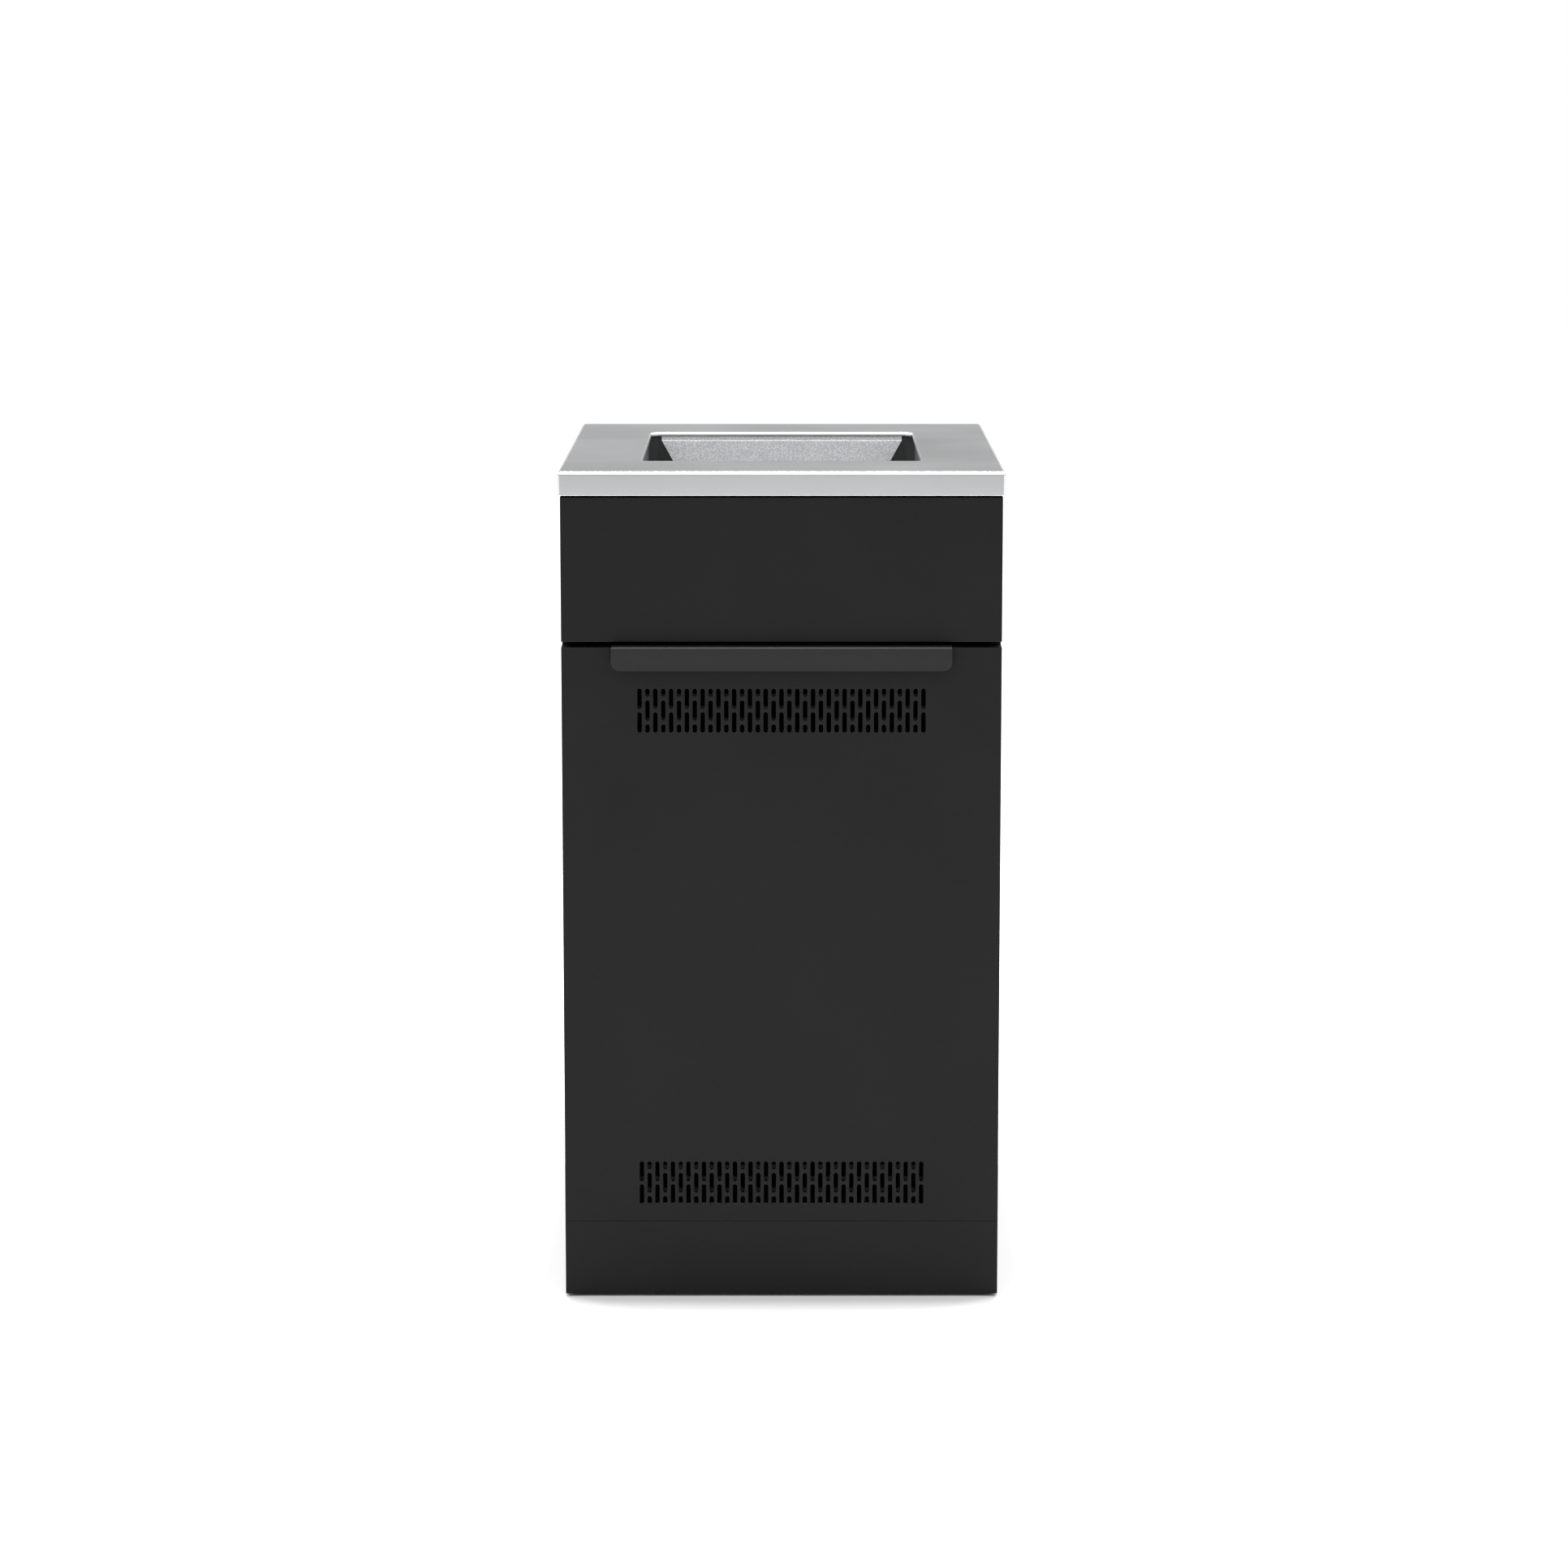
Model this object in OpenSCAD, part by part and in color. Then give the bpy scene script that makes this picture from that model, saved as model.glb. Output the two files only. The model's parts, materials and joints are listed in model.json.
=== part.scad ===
// Top-loading trash compactor: a pull-out waste drawer under a ram that is lowered by two screws.
// Millimetres, +Z up, front towards -Y, origin on the floor under the middle of the whole object.

/* [Cabinet] */
// Width of the painted cabinet
body_w = 457; // [440:1:480]
// Height of the top surface above the floor
body_h = 876; // [870:1:890]
// Depth of the worktop, front flange to back flange
counter_d = 610; // [600:1:640]
// How far the worktop stands out past the cabinet on each side
counter_overhang = 2.5; // [2:0.5:5]
// Height of the worktop's folded edge
counter_edge_h = 25; // [20:1:30]
// Sheet thickness of the worktop and the outer panels
sheet_t = 1.2; // [1:0.1:1.5]
// Depth of the fascia, the drawer front and the plinth
front_t = 22; // [20:1:24]

/* [Front] */
// Height of the top of the plinth
plinth_top = 81; // [78:1:82]
// Height of the top edge of the drawer front
drawer_top = 693; // [688:1:694]
// Gap between the drawer front and the fascia
fascia_gap = 6; // [5:0.5:7]
// Gap between the drawer front and the plinth
plinth_gap = 1; // [1:0.5:3]
// Gap between the fascia and the worktop's folded edge
top_gap = 2; // [1.5:0.5:3]

/* [Handle] */
// Width of the edge pull
handle_w = 353; // [300:1:370]
// Height of the edge pull's front lip
handle_h = 25; // [22:1:30]
// How far the pull stands out from the drawer front
handle_proud = 13; // [12:1:20]
// Sheet thickness of the pull
handle_t = 2; // [1.5:0.5:2.5]

/* [Vents] */
// Number of slot columns in a grid
vent_columns = 37; // [21:2:41]
// Distance between slot columns
vent_pitch = 8.19; // [7.5:0.01:9]
// Width of a slot
slot_w = 4.8; // [4:0.1:5]
// Length of a long slot
slot_long = 21.6; // [20:0.1:22]
// Length of a short slot
slot_short = 8.8; // [8:0.1:9]
// Height of the middle of the upper grid
upper_vent_z = 627; // [620:1:635]
// Height of the middle of the lower grid
lower_vent_z = 123.5; // [118:0.5:130]

/* [Chute] */
// Width of the feed opening
chute_w = 295; // [285:1:295]
// Depth of the feed opening
chute_d = 361; // [350:1:361]
// Distance from the worktop's front edge to the feed opening
chute_setback = 125; // [122:1:128]
// Corner radius of the feed opening
chute_r = 9; // [6:1:12]
// Depth of the worktop's folded collar round the opening
collar_h = 4; // [4:1:8]

/* [Drawer] */
// Width of the waste bin
bin_w = 356; // [354:1:358]
// Height of the top of the bin's rim
bin_top = 594; // [560:1:594]
// Wall thickness of the bin
bin_t = 3; // [2.5:0.1:3]
// Height of the middle of the drawer slides
slide_z = 330; // [250:1:340]

/* [Ram] */
// Stroke of the ram
ram_stroke = 210; // [150:1:210]
// Distance of each screw from the middle
screw_x = 120; // [115:1:125]
// Distance of each guide rod from the middle
rod_x = 172; // [168:1:176]
// Radius of the screws and the guide rods
screw_r = 8; // [7:0.5:8]

/* [Hidden] */
$fn = 48;

// Front and back planes
total_d = counter_d + handle_proud - 3;
back_y = total_d / 2;
counter_front_y = back_y - counter_d;
face_y = counter_front_y + 3;
front_back_y = face_y + front_t;
side_front_y = front_back_y + 1;
panel_back_y = back_y - 5;
half_w = body_w / 2;
side_in_x = half_w - sheet_t;
counter_half_w = half_w + counter_overhang;
counter_low_z = body_h - counter_edge_h;
side_top_z = body_h - sheet_t;
front_top_z = counter_low_z - top_gap;
floor_gap = 3;
bend_r = 4;

// Feed opening and chute
chute_front_y = counter_front_y + chute_setback;
chute_cy = chute_front_y + chute_d / 2;
chute_back_y = chute_front_y + chute_d;
liner_gap = 1.5;
liner_t = 1.5;
liner_low_z = 655;
liner_top_z = body_h - sheet_t;

// Ram at the top of its stroke
ring_w = 336;
ring_d = 400;
ring_low_z = 622;
ring_top_z = 650;
ring_side = 15;
ring_end = 14;
flap_pin_x = ring_w / 2 - ring_side - 6;
flap_pin_z = 631;
flap_pin_r = 3;
flap_hub_r = 5.5;
flap_t = 3;
flap_half_d = ring_d / 2 - ring_end - 0.7;
ring_back_y = chute_cy + ring_d / 2;
post_x = screw_x;
post_w = 26;
post_t = 10;
post_y = ring_back_y - 7;
screw_y = back_y - 55.5;
carriage_low_z = 818;
carriage_top_z = 842;
nut_r = 14;
bush_r = 13;
running_gap = 0.06;
vent_rise = 24.7;

// Screw drive
upper_plate_z = 846;
lower_plate_z = 540;
plate_t = 5;
plate_front_y = screw_y - 32;
journal_r = 6;
pulley_r = 16;
pulley_flange_r = 19;
pulley_h = 14;
pulley_z = [553, 569];
belt_t = 2;
belt_h = 10;
shaft_r = 5;

// Drawer
tray_low_z = plinth_top + 13;
tray_t = 2;
tray_half_w = 208;
bin_front_y = chute_cy - 213;
bin_back_y = chute_cy + 207;
bin_cy = (bin_front_y + bin_back_y) / 2;
bin_d = bin_back_y - bin_front_y;
bin_low_z = tray_low_z + tray_t;
tray_back_y = bin_back_y + 7;
slide_len = 470;
slide_front_y = front_back_y + 3;

// Back panel fittings
fan_x = 120;
fan_z = 250;
fan_side = 80;
fan_bore_r = 38;
fan_screw = 35.75;
guard_t = 2.4;
inlet_x = -150;
inlet_z = 120;
switch_z = 172;
cover_z = 690;
cover_w = 300;
cover_h = 240;
anchor_x = 200;
anchor_z = 600;
rail_low_z = 704;
rail_side = 30;
foot_x = 190;
foot_y = [-235, 265];
floor_hole_x = 150;
floor_hole_y = [-180, 220];

// A box given by its corners
module block(x0, x1, y0, y1, z0, z1) {
    translate([x0, y0, z0]) cube([x1 - x0, y1 - y0, z1 - z0]);
}

// A flat rectangle with round corners, centred
module round_rect(w, d, r) {
    square([w - 2 * r, d], center = true);
    square([w, d - 2 * r], center = true);
    for (sx = [-1, 1], sy = [-1, 1]) {
        translate([sx * (w / 2 - r), sy * (d / 2 - r)]) circle(r = r);
    }
}

// A rectangular tube with round corners, standing on z0
module round_tube(w, d, r, t, z0, z1) {
    translate([0, 0, z0]) linear_extrude(height = z1 - z0) difference() {
        round_rect(w, d, r);
        round_rect(w - 2 * t, d - 2 * t, max(r - t, 0.5));
    }
}

// A prism whose outline is drawn in the Y-Z plane and which is centred on X
module along_x(width) {
    rotate([90, 0, 90]) translate([0, 0, -width / 2]) linear_extrude(height = width) children();
}

// A plate whose outline is drawn in the X-Z plane, with its front face at y0
module along_y(y0, depth) {
    translate([0, y0 + depth, 0]) rotate([90, 0, 0]) linear_extrude(height = depth) children();
}

// A round bar along Y
module bar_y(r, y0, y1) {
    translate([0, y0, 0]) rotate([-90, 0, 0]) cylinder(r = r, h = y1 - y0);
}

// ---- Cabinet ----

// Outline of the worktop's cross-section, inset by the sheet thickness or by nothing
module counter_outline(inset) {
    r = bend_r - inset;
    y0 = counter_front_y + inset;
    y1 = back_y - inset;
    z1 = body_h - inset;
    translate([y0, counter_low_z]) square([y1 - y0, z1 - r - counter_low_z]);
    translate([y0 + r, counter_low_z]) square([y1 - y0 - 2 * r, z1 - counter_low_z]);
    for (y = [y0 + r, y1 - r]) translate([y, z1 - r]) circle(r = r);
}

module countertop() color("silver") {
    difference() {
        along_x(2 * counter_half_w) counter_outline(0);
        along_x(2 * (counter_half_w - sheet_t)) union() {
            counter_outline(sheet_t);
            translate([counter_front_y + sheet_t, counter_low_z - 1])
                square([counter_d - 2 * sheet_t, 5]);
        }
        translate([0, chute_cy, body_h - 10])
            linear_extrude(height = 12) round_rect(chute_w, chute_d, chute_r);
    }
    translate([0, chute_cy, 0]) round_tube(chute_w + 2 * sheet_t, chute_d + 2 * sheet_t,
        chute_r + sheet_t, sheet_t, body_h - collar_h, body_h - sheet_t / 2);
}

// A folded front pan, open at the back, as deep as the front edges of the side panels
module front_pan(z0, z1) {
    difference() {
        block(-half_w, half_w, face_y, side_front_y, z0, z1);
        block(-half_w + sheet_t, half_w - sheet_t, face_y + sheet_t, side_front_y + 1,
            z0 + sheet_t, z1 - sheet_t);
    }
}

// Fascia; its lower fold is relieved over the edge pull
module fascia() color([0.16, 0.16, 0.16]) difference() {
    low_z = drawer_top + fascia_gap;
    front_pan(low_z, front_top_z);
    block(-handle_w / 2 - 2, handle_w / 2 + 2, face_y - 1, face_y + 16, low_z - 1, low_z + 0.5);
}

module plinth() color([0.17, 0.17, 0.17]) front_pan(floor_gap, plinth_top);

// One side panel with its folded edges; the other is its mirror image
module side_panel() {
    back_fold_y = panel_back_y - sheet_t;
    block(side_in_x, half_w, side_front_y, panel_back_y, floor_gap, side_top_z);
    block(half_w - 5.5, half_w - sheet_t / 2, side_front_y, side_front_y + sheet_t,
        floor_gap, side_top_z);
    block(half_w - 20, half_w - sheet_t / 2, back_fold_y, panel_back_y, floor_gap, side_top_z);
    block(half_w - 20, half_w - sheet_t / 2, side_front_y, panel_back_y,
        side_top_z - sheet_t, side_top_z);
}

module left_side_panel() color([0.17, 0.17, 0.17]) mirror([1, 0, 0]) side_panel();

module right_side_panel() color([0.17, 0.17, 0.17]) side_panel();

// Outline of the back panel, with its cut-outs, in the X-Z plane
module back_outline() difference() {
    translate([-half_w, floor_gap]) square([body_w, side_top_z - 1 - floor_gap]);
    translate([fan_x, fan_z]) circle(r = fan_bore_r);
    translate([inlet_x, inlet_z]) square([28, 20], center = true);
    translate([inlet_x, switch_z]) square([28, 20], center = true);
    translate([0, cover_z]) square([cover_w - 40, cover_h - 40], center = true);
    for (s = [-1, 1]) translate([s * anchor_x, anchor_z]) circle(r = 3);
    for (sx = [-1, 1], sz = [-1, 1]) {
        translate([sx * (cover_w / 2 - 10), cover_z + sz * (cover_h / 2 - 10)]) circle(r = 2.2);
        translate([fan_x + sx * fan_screw, fan_z + sz * fan_screw]) circle(r = 2.2);
    }
}

module back_panel() color([0.2, 0.2, 0.2]) along_y(panel_back_y, sheet_t) back_outline();

module base_pan() color("gray") difference() {
    block(-side_in_x, side_in_x, front_back_y + 4, panel_back_y - sheet_t, 14, 40);
    block(-side_in_x + 2, side_in_x - 2, front_back_y + 6, panel_back_y - sheet_t - 2, 16, 41);
    for (sx = [-1, 1], y = foot_y) translate([sx * foot_x, y, 10]) cylinder(r = 5.2, h = 10);
    for (sx = [-1, 1], y = floor_hole_y) {
        translate([sx * floor_hole_x, y, 10]) cylinder(r = 4, h = 10);
    }
}

module front_cross_rail() color("gray") difference() {
    y0 = front_back_y + 3;
    z1 = rail_low_z + rail_side;
    block(-side_in_x, side_in_x, y0, y0 + rail_side, rail_low_z, z1);
    block(-side_in_x - 1, side_in_x + 1, y0 + 2, y0 + rail_side + 1, rail_low_z + 2, z1 - 2);
}

module levelling_foot() {
    difference() {
        cylinder(r = 18, h = 8);
        translate([0, 0, -1]) cylinder(r = 10, h = 2);
    }
    translate([0, 0, 7]) cylinder(r = 5, h = 30);
    translate([0, 0, 8]) cylinder(r = 9, h = 5, $fn = 6);
}

module levelling_feet() color("dimgray") {
    for (sx = [-1, 1], y = foot_y) translate([sx * foot_x, y, 0]) levelling_foot();
}

// ---- Chute ----

module chute_liner() color([0.25, 0.25, 0.26]) translate([0, chute_cy, 0]) {
    inner_w = chute_w + 2 * (sheet_t + liner_gap);
    inner_d = chute_d + 2 * (sheet_t + liner_gap);
    outer_r = chute_r + liner_gap + liner_t;
    round_tube(inner_w + 2 * liner_t, inner_d + 2 * liner_t, outer_r, liner_t,
        liner_low_z, liner_top_z);
    round_tube(inner_w + 24, inner_d + 24, outer_r + 10, 11, liner_top_z - liner_t, liner_top_z);
}

// Stainless plate behind the opening: a full-width band, a taper and a straight tail
module deflector_plate() color("silver") {
    top_z = body_h - collar_h - 0.2;
    band_z = top_z - 5;
    tail_z = 805;
    low_z = 690;
    top_x = 136;
    tail_x = 102;
    along_y(chute_back_y + sheet_t + liner_gap - 1.5, 1.5) polygon([
        [-top_x, top_z], [top_x, top_z], [top_x, band_z], [tail_x, tail_z], [tail_x, low_z],
        [-tail_x, low_z], [-tail_x, tail_z], [-top_x, band_z]
    ]);
}

// ---- Back panel fittings and electrics ----

module access_cover() color([0.2, 0.2, 0.2]) along_y(panel_back_y + sheet_t, sheet_t) difference() {
    translate([0, cover_z]) round_rect(cover_w, cover_h, 6);
    for (sx = [-1, 1], sz = [-1, 1]) {
        translate([sx * (cover_w / 2 - 10), cover_z + sz * (cover_h / 2 - 10)]) circle(r = 2.2);
    }
    for (i = [-4 : 4], s = [-1, 1]) {
        translate([s * 60, cover_z + i * 16]) round_rect(80, 5, 2.4);
    }
}

// A pan-head screw whose head sits on the plane at head_y
module pan_screw(head_y) {
    bar_y(4, head_y, head_y + 1.4);
    bar_y(2, panel_back_y - 8, head_y + 0.1);
}

module panel_screws() color("gainsboro") {
    for (sx = [-1, 1], sz = [-1, 1]) {
        translate([sx * (cover_w / 2 - 10), 0, cover_z + sz * (cover_h / 2 - 10)])
            pan_screw(panel_back_y + 2 * sheet_t);
        translate([fan_x + sx * fan_screw, 0, fan_z + sz * fan_screw])
            pan_screw(panel_back_y + sheet_t + guard_t);
    }
}

module control_box() color("darkslategray") {
    z0 = rail_low_z + rail_side;
    block(-75, 75, front_back_y + 8, chute_front_y - 20, z0, z0 + 56);
    block(-79, 79, front_back_y + 6, chute_front_y - 18, z0 + 56, z0 + 60);
}

module power_inlet() color("black") {
    y = panel_back_y;
    difference() {
        union() {
            block(inlet_x - 14, inlet_x + 14, y - 18, y + sheet_t, inlet_z - 10, inlet_z + 10);
            block(inlet_x - 24, inlet_x + 24, y + sheet_t, y + sheet_t + 2.4,
                inlet_z - 13, inlet_z + 13);
        }
        block(inlet_x - 12, inlet_x + 12, y - 15, y + 5, inlet_z - 8, inlet_z + 8);
    }
}

module inlet_pins() color("gold") {
    for (i = [-1 : 1]) {
        x = inlet_x + 7 * i;
        z = inlet_z + (i == 0 ? 3 : -2);
        block(x - 1, x + 1, panel_back_y - 15, panel_back_y - 1, z - 2, z + 2);
    }
}

module switch_bezel() color("black") {
    y = panel_back_y;
    difference() {
        union() {
            block(inlet_x - 14, inlet_x + 14, y - 12, y + sheet_t, switch_z - 10, switch_z + 10);
            block(inlet_x - 16, inlet_x + 16, y + sheet_t, y + sheet_t + 1.6,
                switch_z - 12, switch_z + 12);
        }
        block(inlet_x - 12.5, inlet_x + 12.5, y - 10, y + 5, switch_z - 8.5, switch_z + 8.5);
    }
}

// Rocker, resting with its lower half pressed in; it turns about its own pin along X
module power_rocker() color("firebrick") {
    translate([inlet_x, panel_back_y - 4, switch_z]) rotate([8, 0, 0]) {
        translate([-12, -1, -7.6]) cube([24, 5.6, 15.2]);
        rotate([0, 90, 0]) translate([0, 0, -12]) cylinder(r = 3, h = 24);
    }
}

module drawer_sensor() color("ivory") {
    block(170, 200, front_back_y + 6, front_back_y + 20, rail_low_z - 8, rail_low_z);
}

module sensor_magnet() color("dimgray") {
    block(172, 198, front_back_y, front_back_y + 12, drawer_top - 33, drawer_top - 14);
}

module fan_housing() color("black") {
    along_y(panel_back_y - 25, 25) difference() {
        translate([fan_x, fan_z]) round_rect(fan_side, fan_side, 5);
        translate([fan_x, fan_z]) circle(r = fan_bore_r);
        for (sx = [-1, 1], sz = [-1, 1]) {
            translate([fan_x + sx * fan_screw, fan_z + sz * fan_screw]) circle(r = 2.15);
        }
    }
    along_y(panel_back_y - 25, 3) difference() {
        translate([fan_x, fan_z]) union() {
            circle(r = 17);
            for (a = [0, 90]) rotate(a) square([2 * fan_bore_r + 1, 4], center = true);
        }
        translate([fan_x, fan_z]) circle(r = 3.06);
    }
}

module fan_rotor() color([0.1, 0.1, 0.1]) translate([fan_x, panel_back_y - 21, fan_z]) {
    bar_y(16, 0, 18);
    bar_y(3, -4, 1);
    for (i = [0 : 6]) rotate([0, i * 360 / 7, 0]) {
        translate([24, 9, 0]) rotate([35, 0, 0]) translate([-10, -1, -11]) cube([22, 2, 22]);
    }
}

module fan_guard() color("silver") translate([fan_x, panel_back_y + sheet_t + guard_t / 2, fan_z]) {
    wire_r = guard_t / 2;
    rotate([-90, 0, 0]) for (r = [10 : 8 : 42]) {
        rotate_extrude() translate([r, 0]) circle(r = wire_r, $fn = 16);
    }
    for (a = [45, 135]) rotate([0, a, 0]) {
        rotate([0, 90, 0]) translate([0, 0, -46]) cylinder(r = wire_r - 0.1, h = 92);
        for (s = [-1, 1]) translate([s * fan_screw * sqrt(2), 0, 0]) rotate([90, 0, 0]) difference() {
            cylinder(r = 6, h = guard_t, center = true);
            cylinder(r = 2.2, h = guard_t + 1, center = true);
        }
    }
}

// ---- Drawer slides ----

// A channel of a slide, opening towards the middle of the cabinet
module channel(x0, x1, half_h, t) {
    block(x1 - t, x1, slide_front_y, slide_front_y + slide_len, slide_z - half_h, slide_z + half_h);
    for (s = [-1, 1]) {
        z = slide_z + s * (half_h - t / 2);
        block(x0, x1 - t / 2, slide_front_y, slide_front_y + slide_len, z - t / 2, z + t / 2);
    }
}

module slide_outer() {
    channel(214, side_in_x, 22.5, 1.6);
}

module slide_middle() {
    channel(212, 222, 19, 1.6);
}

module slide_inner() {
    translate([2 * tray_half_w + 10, 0, 0]) mirror([1, 0, 0])
        channel(tray_half_w + 1.5, tray_half_w + 10, 15, 1.6);
}

module slide_outer_left() color("lightsteelblue") mirror([1, 0, 0]) slide_outer();

module slide_outer_right() color("lightsteelblue") slide_outer();

module slide_middle_left() color("lightsteelblue") mirror([1, 0, 0]) slide_middle();

module slide_middle_right() color("lightsteelblue") slide_middle();

module slide_inner_left() color("lightsteelblue") mirror([1, 0, 0]) slide_inner();

module slide_inner_right() color("lightsteelblue") slide_inner();

// ---- Drawer ----

// One upright slot of a grid
module slot(len) {
    square([slot_w, len - slot_w], center = true);
    for (s = [-1, 1]) translate([0, s * (len - slot_w) / 2]) circle(r = slot_w / 2, $fn = 24);
}

// The slots of one grid: two long ones in odd columns, short, long, short in even columns.
// The lowest slot of each column is lengthened downwards by extra.
module vent_grid(z, extra) {
    grid_h = vent_rise + slot_long;
    last = (vent_columns - 1) / 2;
    for (i = [-last : last]) translate([i * vent_pitch, z]) {
        if ((i + last) % 2 == 0) {
            translate([0, vent_rise / 2]) slot(slot_long);
            translate([0, -(vent_rise + extra) / 2]) slot(slot_long + extra);
        } else {
            slot(slot_long);
            translate([0, (grid_h - slot_short) / 2]) slot(slot_short);
            translate([0, -(grid_h - slot_short + extra) / 2]) slot(slot_short + extra);
        }
    }
}

module drawer_front() color([0.17, 0.17, 0.17]) {
    z0 = plinth_top + plinth_gap;
    along_y(face_y, sheet_t) difference() {
        translate([-half_w, z0]) square([body_w, drawer_top - z0]);
        vent_grid(upper_vent_z, 0);
        vent_grid(lower_vent_z, 0);
    }
    difference() {
        block(-half_w, half_w, face_y + sheet_t / 2, front_back_y, z0, drawer_top);
        block(-half_w + sheet_t, half_w - sheet_t, face_y, front_back_y + 1,
            z0 + sheet_t, drawer_top - sheet_t);
    }
}

module drawer_back_plate() color([0.17, 0.17, 0.17]) {
    x = half_w - sheet_t;
    z0 = plinth_top + plinth_gap + sheet_t;
    z1 = drawer_top - sheet_t;
    along_y(front_back_y - sheet_t, sheet_t) difference() {
        translate([-x, z0]) square([2 * x, z1 - z0]);
        vent_grid(upper_vent_z, 6);
        vent_grid(lower_vent_z, 6);
    }
}

// Edge pull: a flat leg on the drawer's top edge, a bend, and a lip that hangs in front
module drawer_handle() color([0.22, 0.22, 0.22]) {
    r = 3;
    lip_y = face_y - handle_proud;
    top_z = drawer_top + handle_t;
    corner = 9;
    block(-handle_w / 2, handle_w / 2, lip_y + r, face_y + 16, drawer_top, top_z);
    along_x(handle_w) translate([lip_y + r, top_z - r]) difference() {
        circle(r = r);
        circle(r = r - handle_t);
        translate([0, -r - 1]) square([r + 1, 2 * r + 2]);
        translate([-r - 1, -r - 1]) square([2 * r + 2, r + 1]);
    }
    along_y(lip_y, handle_t) {
        low_z = top_z - handle_h;
        translate([-handle_w / 2, low_z + corner]) square([handle_w, handle_h - corner - r]);
        translate([-handle_w / 2 + corner, low_z]) square([handle_w - 2 * corner, corner + 1]);
        for (s = [-1, 1]) {
            translate([s * (handle_w / 2 - corner), low_z + corner]) circle(r = corner);
        }
    }
}

module drawer_seal() color("black") along_y(front_back_y, 0.8) {
    seal_w = body_w - 8;
    z0 = plinth_top + plinth_gap + 2;
    seal_h = drawer_top - 4 - z0;
    translate([0, z0 + seal_h / 2]) difference() {
        round_rect(seal_w, seal_h, 6);
        round_rect(seal_w - 16, seal_h - 16, 4);
    }
}

// A flat filter cassette behind the drawer's back plate
module filter(z, h) {
    block(-158, 158, front_back_y, front_back_y + 14, z - h / 2, z + h / 2);
}

module upper_filter() color([0.08, 0.08, 0.08]) filter(upper_vent_z, 58);

module lower_filter() color([0.1, 0.1, 0.1]) filter(lower_vent_z, 54);

module drawer_tray() color("gray") {
    y0 = front_back_y;
    block(-tray_half_w, tray_half_w, y0, tray_back_y, tray_low_z, tray_low_z + tray_t);
    for (s = [-1, 1]) {
        x = s * (tray_half_w - tray_t / 2);
        block(x - tray_t / 2, x + tray_t / 2, y0, tray_back_y, tray_low_z, slide_z + 40);
        gusset_x = s * (tray_half_w - 12);
        block(gusset_x - 12, gusset_x + 12, y0, y0 + tray_t, tray_low_z, 560);
    }
    block(-tray_half_w, tray_half_w, tray_back_y - tray_t, tray_back_y, tray_low_z, 160);
}

module waste_bin() color([0.3, 0.32, 0.34]) translate([0, bin_cy, 0]) {
    r = 22;
    floor_t = 4;
    difference() {
        round_tube(bin_w, bin_d, r, bin_t, bin_low_z, bin_top);
        for (s = [-1, 1]) translate([s * bin_w / 2, 0, bin_top - 40]) {
            rotate([0, 90, 0]) linear_extrude(height = 20, center = true) round_rect(26, 110, 12);
        }
    }
    translate([0, 0, bin_low_z]) linear_extrude(height = floor_t) round_rect(bin_w - 1, bin_d - 1, r);
    round_tube(bin_w + 8, bin_d + 8, r + 4, 6, bin_top - 4, bin_top);
}

module bag_ring() color("orange") translate([0, bin_cy, 0]) {
    round_tube(bin_w + 6, bin_d + 6, 25, 5, bin_top, bin_top + 6);
}

// ---- Screw drive ----

// A bearing plate with a folded edge against the back panel; its holes run along Z
module bearing_plate(z, fold_low, fold_high) {
    difference() {
        block(-side_in_x, side_in_x, plate_front_y, panel_back_y - sheet_t, z, z + plate_t);
        for (s = [-1, 1]) {
            translate([s * screw_x, screw_y, z - 1]) cylinder(r = 12, h = plate_t + 2);
            translate([s * rod_x, screw_y, z - 1]) cylinder(r = screw_r + 0.02, h = plate_t + 2);
        }
        translate([0, screw_y, z - 1]) cylinder(r = 14, h = plate_t + 2);
    }
    block(-side_in_x, side_in_x, panel_back_y - sheet_t - 4, panel_back_y - sheet_t,
        fold_low, fold_high);
}

module upper_bearing_plate() color("slategray") bearing_plate(upper_plate_z, 826, 851);

module lower_bearing_plate() color("slategray") bearing_plate(lower_plate_z, 520, 545);

module screw_bearings() color("gainsboro") {
    for (s = [-1, 1], z = [lower_plate_z, upper_plate_z]) {
        translate([s * screw_x, screw_y, z]) difference() {
            cylinder(r = 12, h = plate_t);
            translate([0, 0, -1]) cylinder(r = journal_r + running_gap, h = plate_t + 2);
        }
    }
}

module guide_rods() color("gainsboro") {
    for (s = [-1, 1]) translate([s * rod_x, screw_y, lower_plate_z]) {
        cylinder(r = screw_r, h = upper_plate_z + plate_t - lower_plate_z);
    }
}

module gearbox() color("darkgray") difference() {
    union() {
        block(-40, 40, screw_y - 31, screw_y + 31, lower_plate_z - 70, lower_plate_z);
        translate([0, screw_y, lower_plate_z - 1]) cylinder(r = 13, h = 5);
    }
    translate([0, screw_y, lower_plate_z - 40]) cylinder(r = shaft_r + running_gap, h = 50);
}

module motor() color("dimgray") translate([-40, screw_y, lower_plate_z - 38]) rotate([0, -90, 0]) {
    cylinder(r = 29, h = 8);
    translate([0, 0, 8]) cylinder(r = 31, h = 110);
    translate([0, 0, 118]) cylinder(r = 26, h = 14);
}

module motor_capacitor() color("silver") translate([88, screw_y, lower_plate_z - 92]) {
    cylinder(r = 17, h = 5);
    translate([0, 0, 4]) cylinder(r = 20, h = 84);
    translate([0, 0, 87]) cylinder(r = 8, h = 5);
}

module output_shaft() color("gainsboro") {
    z0 = lower_plate_z - 36;
    translate([0, screw_y, z0]) cylinder(r = shaft_r, h = pulley_z[1] + pulley_h + 2 - z0);
}

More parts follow.
